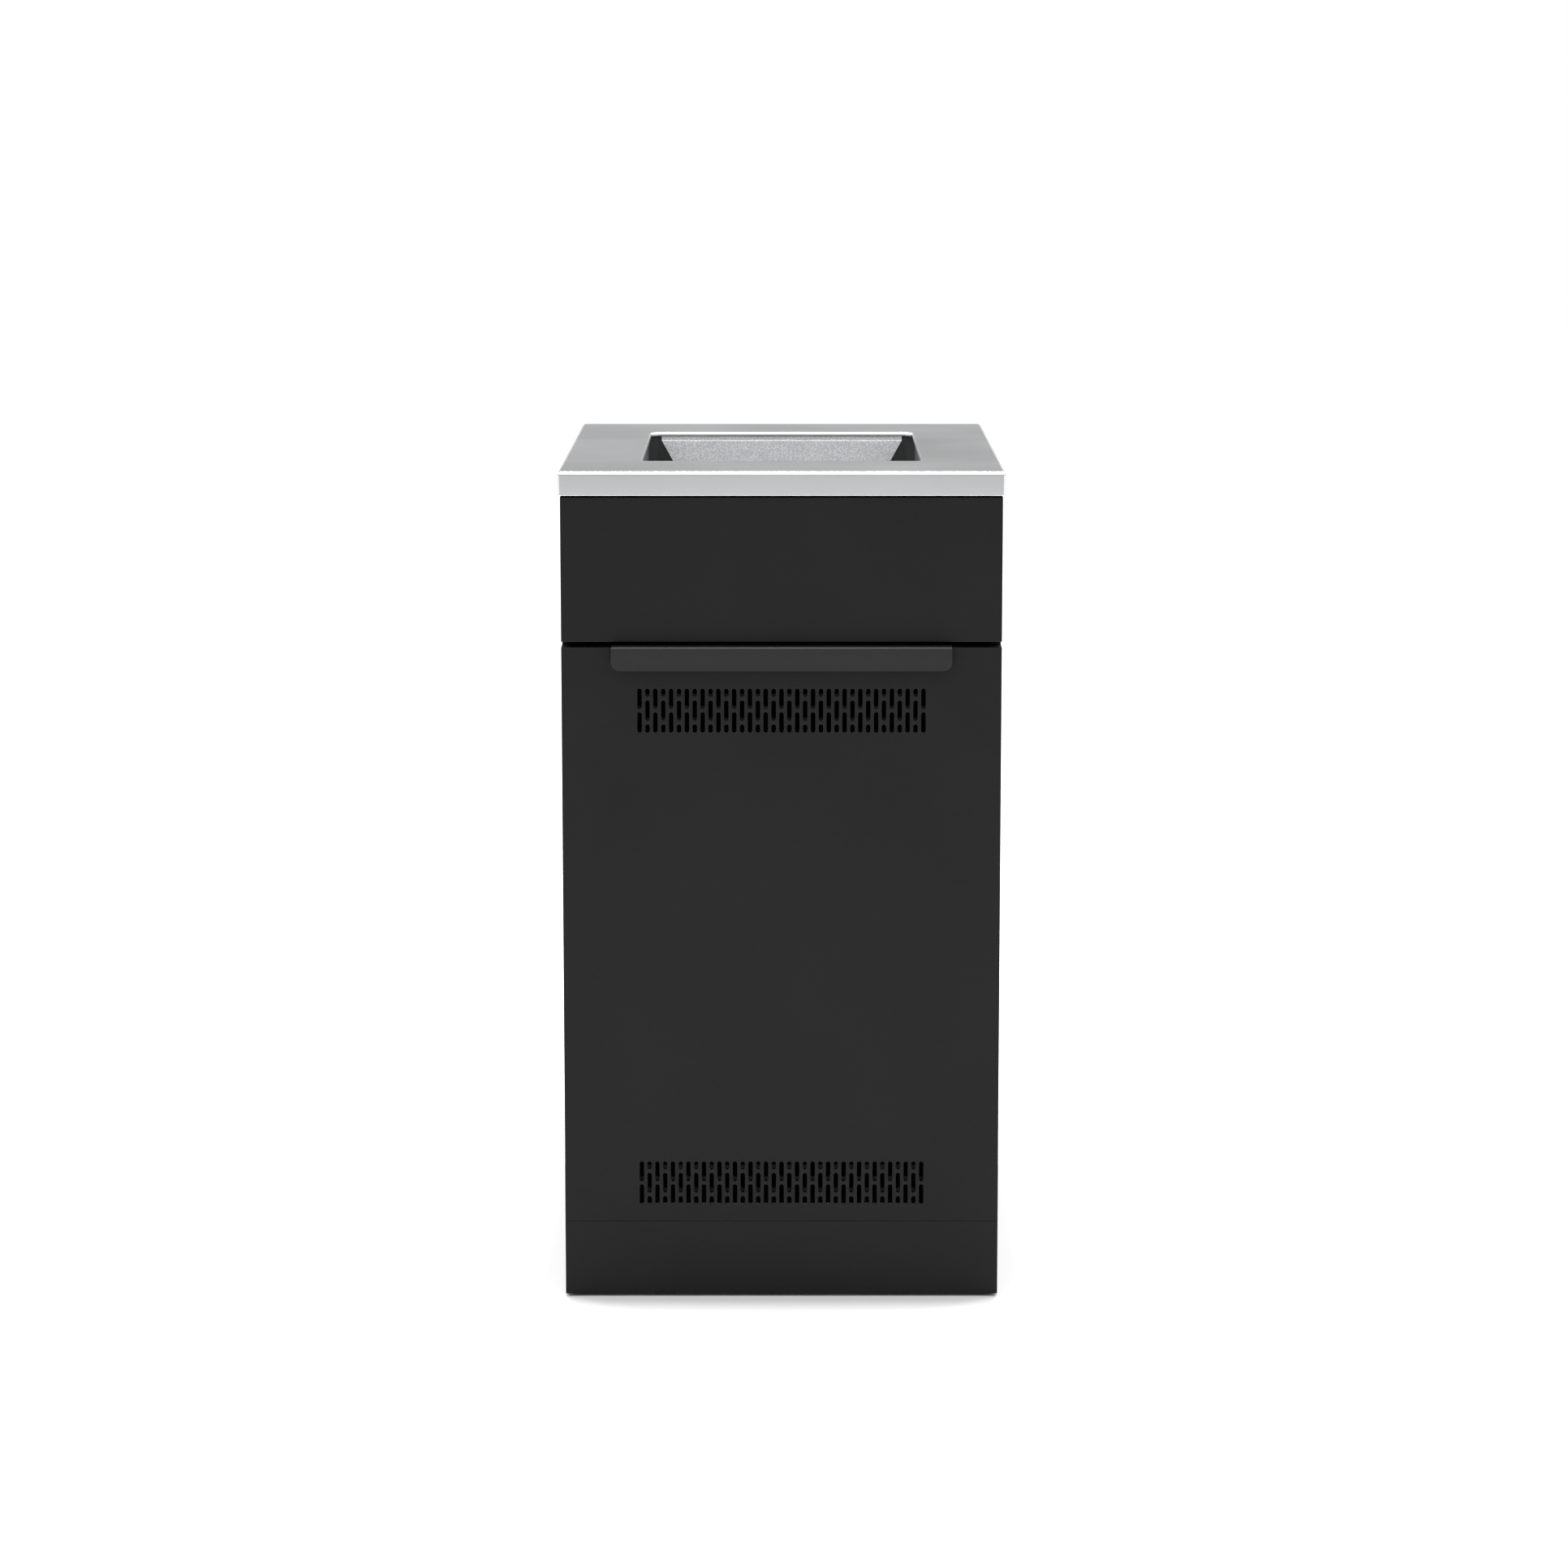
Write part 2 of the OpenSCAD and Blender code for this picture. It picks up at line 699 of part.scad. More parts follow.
// A flanged belt pulley on the z axis
module pulley(bore_r) difference() {
    union() {
        cylinder(r = pulley_r, h = pulley_h);
        for (z = [0, pulley_h - 1.5]) translate([0, 0, z]) cylinder(r = pulley_flange_r, h = 1.5);
    }
    translate([0, 0, -1]) cylinder(r = bore_r, h = pulley_h + 2);
}

module drive_pulley() color("silver") {
    for (z = pulley_z) translate([0, screw_y, z]) pulley(shaft_r + 0.01);
    translate([0, screw_y, pulley_z[0] + pulley_h]) difference() {
        cylinder(r = 10, h = pulley_z[1] - pulley_z[0] - pulley_h);
        translate([0, 0, -1]) cylinder(r = shaft_r + 0.01, h = 4);
    }
}

module screw() {
    translate([0, 0, lower_plate_z - 4]) cylinder(r = journal_r, h = 16);
    translate([0, 0, lower_plate_z + plate_t + 0.5])
        cylinder(r = screw_r, h = upper_plate_z - lower_plate_z - plate_t - 1);
    translate([0, 0, upper_plate_z - 2]) cylinder(r = journal_r, h = plate_t + 5);
}

module screw_left() color("gainsboro") translate([-screw_x, screw_y, 0]) screw();

module screw_right() color("gainsboro") translate([screw_x, screw_y, 0]) screw();

module pulley_left() color("silver") {
    translate([-screw_x, screw_y, pulley_z[0]]) pulley(screw_r + 0.01);
}

module pulley_right() color("silver") {
    translate([screw_x, screw_y, pulley_z[1]]) pulley(screw_r + 0.01);
}

// A belt round two equal pulleys that stand apart along X
module belt(length) linear_extrude(height = belt_h) difference() {
    round_rect(length + 2 * (pulley_r + 0.3 + belt_t), 2 * (pulley_r + 0.3 + belt_t) ,
        pulley_r + 0.29 + belt_t);
    round_rect(length + 2 * (pulley_r + 0.3), 2 * (pulley_r + 0.3), pulley_r + 0.29);
}

module drive_belt_left() color([0.1, 0.1, 0.1]) {
    translate([-screw_x / 2, screw_y, pulley_z[0] + 2]) belt(screw_x);
}

module drive_belt_right() color([0.1, 0.1, 0.1]) {
    translate([screw_x / 2, screw_y, pulley_z[1] + 2]) belt(screw_x);
}

// ---- Ram ----

module ram_frame() color("steelblue") {
    ring_h = ring_top_z - ring_low_z;
    half_in_d = ring_d / 2 - ring_end;
    lip_z = flap_pin_z + flap_t / 2 + 0.3;
    translate([0, chute_cy, 0]) difference() {
        union() {
            translate([0, 0, ring_low_z]) linear_extrude(height = ring_h) difference() {
                round_rect(ring_w, ring_d, 12);
                square([ring_w - 2 * ring_side, 2 * half_in_d], center = true);
            }
            block(-130, 130, -half_in_d - 1, -half_in_d + 6, lip_z, ring_top_z);
            block(-130, 130, half_in_d - 6, half_in_d + 1, lip_z, ring_top_z);
        }
        for (s = [-1, 1]) translate([s * flap_pin_x, 0, flap_pin_z]) {
            bar_y(flap_pin_r + 0.01, -ring_d / 2 - 1, ring_d / 2 + 1);
        }
    }
    for (s = [-1, 1]) {
        block(s * post_x - post_w / 2, s * post_x + post_w / 2, post_y - post_t / 2,
            post_y + post_t / 2, ring_top_z - 1, carriage_top_z);
    }
}

module ram_carriage() color("steelblue") difference() {
    union() {
        block(-190, 190, screw_y - 24, screw_y + 24, carriage_low_z, carriage_top_z);
        for (s = [-1, 1]) {
            block(s * post_x - 22, s * post_x + 22, post_y + post_t / 2, screw_y - 20,
                carriage_low_z, carriage_top_z);
        }
    }
    for (s = [-1, 1]) {
        translate([s * screw_x, screw_y, carriage_low_z - 1]) cylinder(r = nut_r + 0.01, h = 30);
        translate([s * rod_x, screw_y, carriage_low_z - 1]) cylinder(r = bush_r + 0.01, h = 30);
    }
}

module screw_nuts() color("gold") {
    for (s = [-1, 1]) translate([s * screw_x, screw_y, 0]) difference() {
        union() {
            translate([0, 0, carriage_low_z - 16]) cylinder(r = nut_r, h = 40);
            translate([0, 0, carriage_low_z - 6]) cylinder(r = 21, h = 6);
        }
        translate([0, 0, carriage_low_z - 20]) cylinder(r = screw_r + running_gap, h = 50);
    }
}

module guide_bushes() color("peru") {
    for (s = [-1, 1]) translate([s * rod_x, screw_y, carriage_low_z - 8]) difference() {
        cylinder(r = bush_r, h = 32);
        translate([0, 0, -1]) cylinder(r = screw_r + running_gap, h = 40);
    }
}

module flap_pins() color("gainsboro") {
    for (s = [-1, 1]) translate([s * flap_pin_x, chute_cy, flap_pin_z]) {
        bar_y(flap_pin_r, -ring_d / 2, ring_d / 2);
    }
}

// The right-hand flap: a plate to the middle line, its hinge hub and two stiffening ribs
module flap() translate([0, chute_cy, flap_pin_z]) difference() {
    union() {
        block(0.8, flap_pin_x, -flap_half_d, flap_half_d, -flap_t / 2, flap_t / 2);
        translate([flap_pin_x, 0, 0]) bar_y(flap_hub_r, -flap_half_d, flap_half_d);
        block(0.8, 3.8, -flap_half_d, flap_half_d, -7, 0);
        for (y = [-90, 0, 90]) block(2, flap_pin_x - 12, y - 1.5, y + 1.5, -7, 0);
    }
    translate([flap_pin_x, 0, 0]) bar_y(flap_pin_r + running_gap, -ring_d / 2, ring_d / 2);
}

module flap_left() color("lightslategray") mirror([1, 0, 0]) flap();

module flap_right() color("lightslategray") flap();

countertop();
fascia();
plinth();
left_side_panel();
right_side_panel();
back_panel();
base_pan();
front_cross_rail();
levelling_feet();
chute_liner();
deflector_plate();
access_cover();
panel_screws();
control_box();
power_inlet();
inlet_pins();
switch_bezel();
power_rocker();
drawer_sensor();
fan_housing();
fan_rotor();
fan_guard();
slide_outer_left();
slide_outer_right();
slide_middle_left();
slide_middle_right();
slide_inner_left();
slide_inner_right();
drawer_front();
drawer_back_plate();
drawer_handle();
drawer_seal();
upper_filter();
lower_filter();
sensor_magnet();
drawer_tray();
waste_bin();
bag_ring();
upper_bearing_plate();
lower_bearing_plate();
screw_bearings();
guide_rods();
gearbox();
motor();
motor_capacitor();
output_shaft();
drive_pulley();
screw_left();
screw_right();
pulley_left();
pulley_right();
drive_belt_left();
drive_belt_right();
ram_frame();
ram_carriage();
screw_nuts();
guide_bushes();
flap_pins();
flap_left();
flap_right();
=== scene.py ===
"""Looks for the trash compactor. Shapes are drawn in millimetres and scaled to metres."""
import json
from math import atan2, cos, pi, radians, sin, sqrt, tan, tau

import bmesh
import bpy
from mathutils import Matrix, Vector
from mathutils.geometry import delaunay_2d_cdt


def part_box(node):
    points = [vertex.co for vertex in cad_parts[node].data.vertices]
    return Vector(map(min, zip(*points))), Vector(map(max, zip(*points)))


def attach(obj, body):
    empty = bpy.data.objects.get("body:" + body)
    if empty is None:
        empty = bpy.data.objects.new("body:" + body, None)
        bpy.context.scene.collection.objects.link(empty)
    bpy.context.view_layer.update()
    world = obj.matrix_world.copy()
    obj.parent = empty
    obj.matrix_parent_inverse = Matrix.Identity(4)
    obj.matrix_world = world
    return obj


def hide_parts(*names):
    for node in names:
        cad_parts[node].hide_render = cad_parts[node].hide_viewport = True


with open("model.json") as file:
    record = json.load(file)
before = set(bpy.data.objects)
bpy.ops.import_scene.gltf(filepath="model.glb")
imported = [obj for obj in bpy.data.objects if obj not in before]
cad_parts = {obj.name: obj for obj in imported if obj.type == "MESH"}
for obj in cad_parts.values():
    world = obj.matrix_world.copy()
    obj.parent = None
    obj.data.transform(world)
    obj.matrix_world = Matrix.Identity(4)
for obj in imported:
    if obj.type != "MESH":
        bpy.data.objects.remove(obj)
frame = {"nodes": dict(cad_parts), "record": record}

MM = 0.001
NODES = frame["nodes"]
RECORD = frame["record"]
MOUNTS, JOINTS = RECORD["mounts"], RECORD["behaviour"]["joints"]
SLOT_OF = {row["node"]: row["material_slot"] for row in RECORD["subparts"]}
BODY_OF = {node: body for body, nodes in RECORD["behaviour"]["bodies"].items() for node in nodes}
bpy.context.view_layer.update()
WALL_LIGHT, CEILING_LIGHT = 0.22, 1.4
X_AXIS, Y_AXIS, Z_AXIS = Vector((1, 0, 0)), Vector((0, 1, 0)), Vector((0, 0, 1))


# ---------------- camera, floor and light


def make_camera():
    """A long lens in front of the cabinet and above it, as in a catalogue picture."""
    data = bpy.data.cameras.new("camera")
    data.lens = 105.1
    data.sensor_width = 36.0
    look_down = 9.13
    camera = bpy.data.objects.new("camera", data)
    camera.location = (0.0026, -5.0015, 1.306)
    camera.rotation_euler = (radians(90 - look_down), 0, 0)
    bpy.context.scene.collection.objects.link(camera)
    bpy.context.scene.camera = camera


def area_light(name, place, target, size, power):
    data = bpy.data.lights.new(name, "AREA")
    data.shape = "RECTANGLE"
    data.size, data.size_y = size
    data.energy = power
    light = bpy.data.objects.new(name, data)
    light.location = place
    aim = Vector(target) - light.location
    light.rotation_euler = aim.to_track_quat("-Z", "Y").to_euler()
    bpy.context.scene.collection.objects.link(light)


def make_world():
    """A white room; what mirrors in the steel is a bright ceiling over greyer walls."""
    world = bpy.data.worlds.new("studio")
    world.use_nodes = True
    tree = world.node_tree
    background = tree.nodes["Background"]
    place = add(tree, "ShaderNodeTexCoord")
    split = add(tree, "ShaderNodeSeparateXYZ")
    tree.links.new(place.outputs["Generated"], split.inputs["Vector"])
    room = ramp(tree, split.outputs["Z"], WALL_LIGHT, CEILING_LIGHT, 0.1, 0.4)
    backdrop = add(tree, "ShaderNodeLightPath")
    mix = add(tree, "ShaderNodeMix", data_type="RGBA")
    mix.inputs["B"].default_value = (1, 1, 1, 1)
    tree.links.new(backdrop.outputs["Is Camera Ray"], mix.inputs["Factor"])
    tree.links.new(room, mix.inputs["A"])
    tree.links.new(mix.outputs["Result"], background.inputs["Color"])
    bpy.context.scene.world = world


def make_studio():
    """A white floor and room, a high lamp for a short shadow in front, and lamps behind."""
    scene = bpy.context.scene
    scene.view_settings.view_transform = "Standard"
    make_world()
    half = 14.0
    mesh = bpy.data.meshes.new("floor")
    mesh.from_pydata([(-half, -half, 0), (half, -half, 0), (half, half, 0), (-half, half, 0)],
                     [], [(0, 1, 2, 3)])
    floor = bpy.data.objects.new("floor", mesh)
    scene.collection.objects.link(floor)
    material, _, shader = new_material("floor_white")
    shader.inputs["Base Color"].default_value = (0.78, 0.78, 0.78, 1)
    shader.inputs["Roughness"].default_value = 0.9
    shader.inputs["Specular IOR Level"].default_value = 0.0
    mesh.materials.append(material)
    area_light("high_lamp", (0, -0.08, 6.0), (0, -0.08, 0), (0.2, 0.44), 240)
    for side in (-1, 1):
        area_light("side_lamp", (side * 0.6, 1.0, 6.0), (side * 0.3, 0, 0), (0.3, 0.3), 150)
        area_light("back_lamp", (side * 3.2, 2.2, 3.0), (side * 0.3, 0, 0), (1.2, 1.2), 45)


# ---------------- materials


def new_material(name):
    material = bpy.data.materials.new(name)
    material.use_nodes = True
    return material, material.node_tree, material.node_tree.nodes["Principled BSDF"]


def add(tree, kind, **settings):
    node = tree.nodes.new(kind)
    for key, value in settings.items():
        setattr(node, key, value)
    return node


def noise(tree, scale, detail=3.0, stretch=(1, 1, 1)):
    """Grey output of a noise texture in object space, stretched along each axis."""
    place = add(tree, "ShaderNodeTexCoord")
    mapping = add(tree, "ShaderNodeMapping")
    mapping.inputs["Scale"].default_value = stretch
    texture = add(tree, "ShaderNodeTexNoise")
    texture.inputs["Scale"].default_value = scale
    texture.inputs["Detail"].default_value = detail
    tree.links.new(place.outputs["Object"], mapping.inputs["Vector"])
    tree.links.new(mapping.outputs["Vector"], texture.inputs["Vector"])
    return texture.outputs["Fac"]


def ramp(tree, source, low, high, start=0.35, end=0.65):
    """Turns a grey value into a range of colours or of numbers."""
    node = add(tree, "ShaderNodeValToRGB")
    for element, place, value in zip(node.color_ramp.elements, (start, end), (low, high)):
        element.position = place
        element.color = (*value, 1) if isinstance(value, tuple) else (value, value, value, 1)
    tree.links.new(source, node.inputs["Fac"])
    return node.outputs["Color"]


def bump(tree, shader, height, strength, distance):
    node = add(tree, "ShaderNodeBump")
    node.inputs["Strength"].default_value = strength
    node.inputs["Distance"].default_value = distance
    tree.links.new(height, node.inputs["Height"])
    tree.links.new(node.outputs["Normal"], shader.inputs["Normal"])


def tint(colour, factor):
    return tuple(min(1.0, c * factor) for c in colour)


def bend_wear_and_highlight(tree, tone, colour):
    """The tone on flat sides, and a paler colour painted where one flat side turns into the next:
    edge wear, and a painted highlight where the bend catches the light.
    """
    place = add(tree, "ShaderNodeTexCoord")
    size = add(tree, "ShaderNodeVectorMath", operation="ABSOLUTE")
    split = add(tree, "ShaderNodeSeparateXYZ")
    tree.links.new(place.outputs["Normal"], size.inputs[0])
    tree.links.new(size.outputs["Vector"], split.inputs["Vector"])
    largest = split.outputs["X"]
    for axis in "YZ":
        step = add(tree, "ShaderNodeMath", operation="MAXIMUM")
        tree.links.new(largest, step.inputs[0])
        tree.links.new(split.outputs[axis], step.inputs[1])
        largest = step.outputs[0]
    mix = add(tree, "ShaderNodeMix", data_type="RGBA")
    mix.inputs["B"].default_value = (*colour, 1)
    tree.links.new(ramp(tree, largest, 1.0, 0.0, 0.93, 0.995), mix.inputs["Factor"])
    tree.links.new(tone, mix.inputs["A"])
    return mix.outputs["Result"]


def coated(name, colour, roughness=0.5, specular=0.3, grain=900, relief=0.06, spread=0.06, wear_and_highlight=1):
    """Powder coat, paint, rubber or plastic: orange peel, uneven colour, and paler bends that are
    partly edge wear and partly a painted highlight.
    """
    material, tree, shader = new_material(name)
    broad = noise(tree, 9, 4)
    fine = noise(tree, grain, 2)
    tone = ramp(tree, broad, tint(colour, 1 - spread), tint(colour, 1 + spread))
    # Paler bends: partly edge wear, partly a painted highlight along each bend.
    if wear_and_highlight > 1:
        tone = bend_wear_and_highlight(tree, tone, tint(colour, wear_and_highlight))
    tree.links.new(tone, shader.inputs["Base Color"])
    tree.links.new(ramp(tree, fine, roughness - 0.04, roughness + 0.04), shader.inputs["Roughness"])
    shader.inputs["Specular IOR Level"].default_value = specular
    bump(tree, shader, fine, relief, 0.0002)
    return material


def brushed(name, colour, roughness=0.3, stretch=(6, 900, 900), contrast=0.08, relief=0.05,
            polish_and_highlight=0.0, edge_tint=1.0):
    """Brushed or ground metal: fine lines along the axis with the smallest stretch, and bends that
    can be painted paler as polished edges and a painted highlight.
    """
    material, tree, shader = new_material(name)
    lines = noise(tree, 1.0, 6, stretch)
    cloud = noise(tree, 5, 3)
    shader.inputs["Metallic"].default_value = 1.0
    shader.inputs["Specular Tint"].default_value = (edge_tint, edge_tint, edge_tint, 1)
    tone = ramp(tree, lines, tint(colour, 1 - contrast), tint(colour, 1 + contrast))
    # Paler bends and rims: partly polished edges, partly a painted highlight.
    if polish_and_highlight:
        tone = bend_wear_and_highlight(tree, tone, (polish_and_highlight, polish_and_highlight, polish_and_highlight))
    tree.links.new(tone, shader.inputs["Base Color"])
    total = add(tree, "ShaderNodeMath", operation="ADD")
    tree.links.new(ramp(tree, lines, roughness - contrast, roughness + contrast), total.inputs[0])
    tree.links.new(ramp(tree, cloud, 0.0, 0.03), total.inputs[1])
    tree.links.new(total.outputs[0], shader.inputs["Roughness"])
    bump(tree, shader, lines, relief, 0.00005)
    return material


def grained(name, colour, roughness=0.38, grain=420, contrast=0.14, streaks=0.12):
    """Rolled, cast or zinc-coated metal with a fine mottled grain and faint rolling streaks."""
    material, tree, shader = new_material(name)
    speckle = noise(tree, grain, 5)
    streak = noise(tree, 1.0, 4, (30, 300, 60))
    shader.inputs["Metallic"].default_value = 1.0
    mix = add(tree, "ShaderNodeMix", data_type="RGBA", blend_type="MULTIPLY")
    mix.inputs["Factor"].default_value = 1.0
    tree.links.new(ramp(tree, speckle, tint(colour, 1 - contrast), tint(colour, 1 + contrast)),
                   mix.inputs["A"])
    tree.links.new(ramp(tree, streak, 1 - streaks, 1.0), mix.inputs["B"])
    tree.links.new(mix.outputs["Result"], shader.inputs["Base Color"])
    tree.links.new(ramp(tree, speckle, roughness - 0.07, roughness + 0.07),
                   shader.inputs["Roughness"])
    bump(tree, shader, speckle, 0.1, 0.0001)
    return material


def make_materials():
    """One material for each slot of the record."""
    kinds = {
        # The last number of black_paint and handle_paint paints their bends paler: edge wear and a
        # painted highlight.
        "black_paint": (coated, (0.0095,) * 3, 0.5, 0.12, 900, 0.06, 0.06, 2.2),
        "handle_paint": (coated, (0.0113,) * 3, 0.42, 0.25, 900, 0.06, 0.06, 1.8),
        # The 0.98 on brushed_top paints its bends and rims near white: polished edges and a painted
        # highlight.
        "brushed_top": (brushed, (0.54, 0.545, 0.551), 0.28, (5, 1100, 1100), 0.006, 0.003,
                        0.98, 0.49),
        "stainless_plate": (grained, (0.86, 0.9, 0.92), 0.75, 700, 0.2, 0.02),
        "flap_stainless": (brushed, (0.45, 0.46, 0.47), 0.36, (900, 6, 900)),
        "dark_liner": (coated, (0.05, 0.051, 0.052), 0.5, 0.3, 500, 0.1, 0.15),
        "galvanised": (grained, (0.42, 0.43, 0.44), 0.45, 160),
        "foot_plastic": (coated, (0.02,) * 3, 0.6),
        "screw_steel": (brushed, (0.4,) * 3, 0.28, (600, 600, 600)),
        "box_plastic": (coated, (0.05, 0.05, 0.052), 0.55, 0.4, 1200),
        "inlet_plastic": (coated, (0.012,) * 3, 0.3, 0.5, 1500),
        "pin_brass": (brushed, (0.75, 0.6, 0.3), 0.25, (900, 60, 900)),
        "rocker_plastic": (coated, (0.02,) * 3, 0.25, 0.5, 1500),
        "fan_plastic": (coated, (0.015, 0.015, 0.016), 0.5, 0.4, 1200),
        "guard_chrome": (brushed, (0.4, 0.4, 0.41), 0.24, (300, 300, 300)),
        "slide_zinc": (brushed, (0.55, 0.56, 0.58), 0.28, (600, 8, 600)),
        "seal_rubber": (coated, (0.01,) * 3, 0.75, 0.2, 700),
        "filter_felt": (coated, (0.004,) * 3, 0.95, 0.05, 2200, 0.8),
        "magnet_steel": (coated, (0.08, 0.08, 0.085), 0.45),
        "bin_plastic": (coated, (0.07, 0.074, 0.08), 0.5, 0.4, 700, 0.25),
        "ring_plastic": (coated, (0.03,) * 3, 0.45, 0.4, 900),
        "plate_steel": (grained, (0.45, 0.46, 0.47), 0.42, 250),
        "bright_steel": (brushed, (0.68, 0.68, 0.69), 0.18, (500, 500, 30)),
        "gearbox_aluminium": (grained, (0.55,) * 3, 0.5, 350),
        "motor_steel": (coated, (0.03, 0.032, 0.036), 0.4, 0.4),
        "capacitor_aluminium": (brushed, (0.75, 0.75, 0.76), 0.3, (500, 500, 20)),
        "pulley_aluminium": (brushed, (0.7,) * 3, 0.3, (400, 400, 30)),
        "belt_rubber": (coated, (0.012,) * 3, 0.8, 0.2, 900),
        "ram_paint": (coated, (0.09, 0.095, 0.1), 0.45, 0.4, 800),
        "nut_brass": (brushed, (0.72, 0.55, 0.25), 0.28, (400, 400, 60)),
        "bush_plastic": (coated, (0.35, 0.22, 0.1), 0.5, 0.4),
    }
    return {slot: kind(slot, *numbers) for slot, (kind, *numbers) in kinds.items()}


# ---------------- outlines


def on_x(u, v, w):
    return (w, u, v)


def on_y(u, v, w):
    return (u, w, v)


def on_z(u, v, w):
    return (u, v, w)


def arc(start, end, steps):
    return [start + (end - start) * k / steps for k in range(steps + 1)]


def rect(u0, u1, v0, v1):
    """A rectangle, anticlockwise like every outline here."""
    return [(u0, v0), (u1, v0), (u1, v1), (u0, v1)]


def corners(u, v, reach_u, reach_v):
    """The four points that lie this far from a centre."""
    return [(u + s * reach_u, v + t * reach_v) for s in (-1, 1) for t in (-1, 1)]


def circle(u, v, radius, count=32):
    return [(u + radius * cos(a), v + radius * sin(a))
            for a in arc(0, tau, count)[:-1]]


def fillet(points, radius, steps=4):
    """The closed outline with every corner rounded."""
    out = []
    for i, point in enumerate(points):
        here = Vector(point)
        back = Vector(points[i - 1]) - here
        ahead = Vector(points[(i + 1) % len(points)]) - here
        reach = 0.49 * min(back.length, ahead.length)
        back.normalize()
        ahead.normalize()
        half = back.angle(ahead) / 2
        cut = min(radius / tan(half), reach)
        centre = here + (back + ahead).normalized() * (cut / cos(half))
        first = here + back * cut - centre
        last = here + ahead * cut - centre
        start = atan2(first.y, first.x)
        turn = (atan2(last.y, last.x) - start + pi) % tau - pi
        out += [(centre.x + first.length * cos(a), centre.y + first.length * sin(a))
                for a in arc(start, start + turn, steps)]
    return out


def round_rect(u, v, width, depth, radius, steps=6):
    return fillet(rect(u - width / 2, u + width / 2, v - depth / 2, v + depth / 2), radius, steps)


def slot_outline(u, v, width, length, steps=6):
    """An upright slot with round ends."""
    r = width / 2
    return [(u + r * cos(a), v + side * (length / 2 - r) + r * sin(a))
            for side, start in ((1, 0.0), (-1, pi))
            for a in arc(start, start + pi, steps)]


def grow(points, distance):
    """The closed outline moved outwards, or inwards where the distance is below zero."""
    out = []
    for i, point in enumerate(points):
        here = Vector(point)
        before = (here - Vector(points[i - 1])).normalized()
        after = (Vector(points[(i + 1) % len(points)]) - here).normalized()
        side = Vector((before.y + after.y, -before.x - after.x))
        out.append(tuple(here + side * (distance / max(1 + before.dot(after), 0.3))))
    return out


def mirrored(points, flip=True):
    """The outline mirrored in the first coordinate, still anticlockwise."""
    return [(-u, v) for u, v in reversed(points)] if flip else points


# ---------------- solids


def bridge(work, one, two):
    """Quads between two closed rings with as many points each."""
    for i in range(len(one)):
        j = (i + 1) % len(one)
        work.faces.new((one[i], one[j], two[j], two[i]))


def loft(work, rings, closed=False):
    """A skin through rings of points, capped at both ends or joined end to end."""
    loops = [[work.verts.new(p) for p in points] for points in rings]
    for one, two in zip(loops, loops[1:] + loops[:1] if closed else loops[1:]):
        bridge(work, one, two)
    if not closed:
        work.faces.new(list(reversed(loops[0])))
        work.faces.new(loops[-1])


def flat_face(work, outline, holes, w, place):
    """A flat face with holes; gives back the rings of vertices of its outline and holes."""
    coords, edges, spans = [], [], []
    for points in [outline, *holes]:
        start = len(coords)
        coords += [Vector(p) for p in points]
        edges += [(start + k, start + (k + 1) % len(points)) for k in range(len(points))]
        spans.append(range(start, len(coords)))
    border, inside_with_holes = [list(spans[0])], 2
    made, _, faces, origins, _, _ = delaunay_2d_cdt(coords, edges, border, inside_with_holes, 1e-5)
    verts = [work.verts.new(place(p.x, p.y, w)) for p in made]
    for face in faces:
        work.faces.new([verts[i] for i in face])
    at = {old: verts[new] for new, olds in enumerate(origins) for old in olds}
    return [[at[i] for i in span] for span in spans]


def plate(work, outline, holes, w0, w1, place=on_z, edge=0.4, steps=2):
    """A flat sheet from w0 to w1 with holes, all its edges rounded."""
    chains = [[] for _ in range(len(holes) + 1)]
    signs = [-1] + [1] * len(holes)
    for w, inward in ((w0, 1), (w1, -1)):
        borders = flat_face(work, grow(outline, -edge), [grow(h, edge) for h in holes], w, place)
        for chain, border, base, sign in zip(chains, borders, [outline, *holes], signs):
            rings = [border]
            for a in arc(0, pi / 2, steps)[1:]:
                depth = w + inward * edge * (1 - cos(a))
                rings.append([work.verts.new(place(u, v, depth))
                              for u, v in grow(base, sign * edge * (1 - sin(a)))])
            chain += rings if inward > 0 else reversed(rings)
    for chain in chains:
        for one, two in zip(chain, chain[1:]):
            bridge(work, one, two)


def brick(work, x, y, z, edge=0.8, corner=None):
    """A block with rounded edges, given by its (low, high) spans."""
    outline = fillet(rect(*x, *y), corner or edge, 3)
    plate(work, outline, [], *z, on_z, edge)


def lathe(work, profile, centre, axis=Z_AXIS, count=36, closed=False):
    """A turned solid through (radius, height) points along an axis."""
    side = axis.orthogonal().normalized()
    other = axis.cross(side)
    origin = Vector(centre)
    rings = []
    for radius, height in profile:
        spokes = [side * cos(a) + other * sin(a) for a in arc(0, tau, count)[:-1]]
        rings.append([origin + axis * height + spoke * max(radius, 0.02) for spoke in spokes])
    loft(work, rings, closed)


def rod(work, start, end, radius, edge=0.5, count=24):
    """A round bar with chamfered ends."""
    axis = Vector(end) - Vector(start)
    top = axis.length
    lathe(work, [(radius - edge, 0), (radius, edge), (radius, top - edge), (radius - edge, top)],
          start, axis.normalized(), count)


def tube(work, centre, inner, outer, h0, h1, edge=0.4, count=36, axis=Z_AXIS):
    """A round tube with chamfered ends."""
    lathe(work, [(inner, h0 + edge), (inner + edge, h0), (outer - edge, h0), (outer, h0 + edge),
                 (outer, h1 - edge), (outer - edge, h1), (inner + edge, h1), (inner, h1 - edge)],
          centre, axis, count, True)


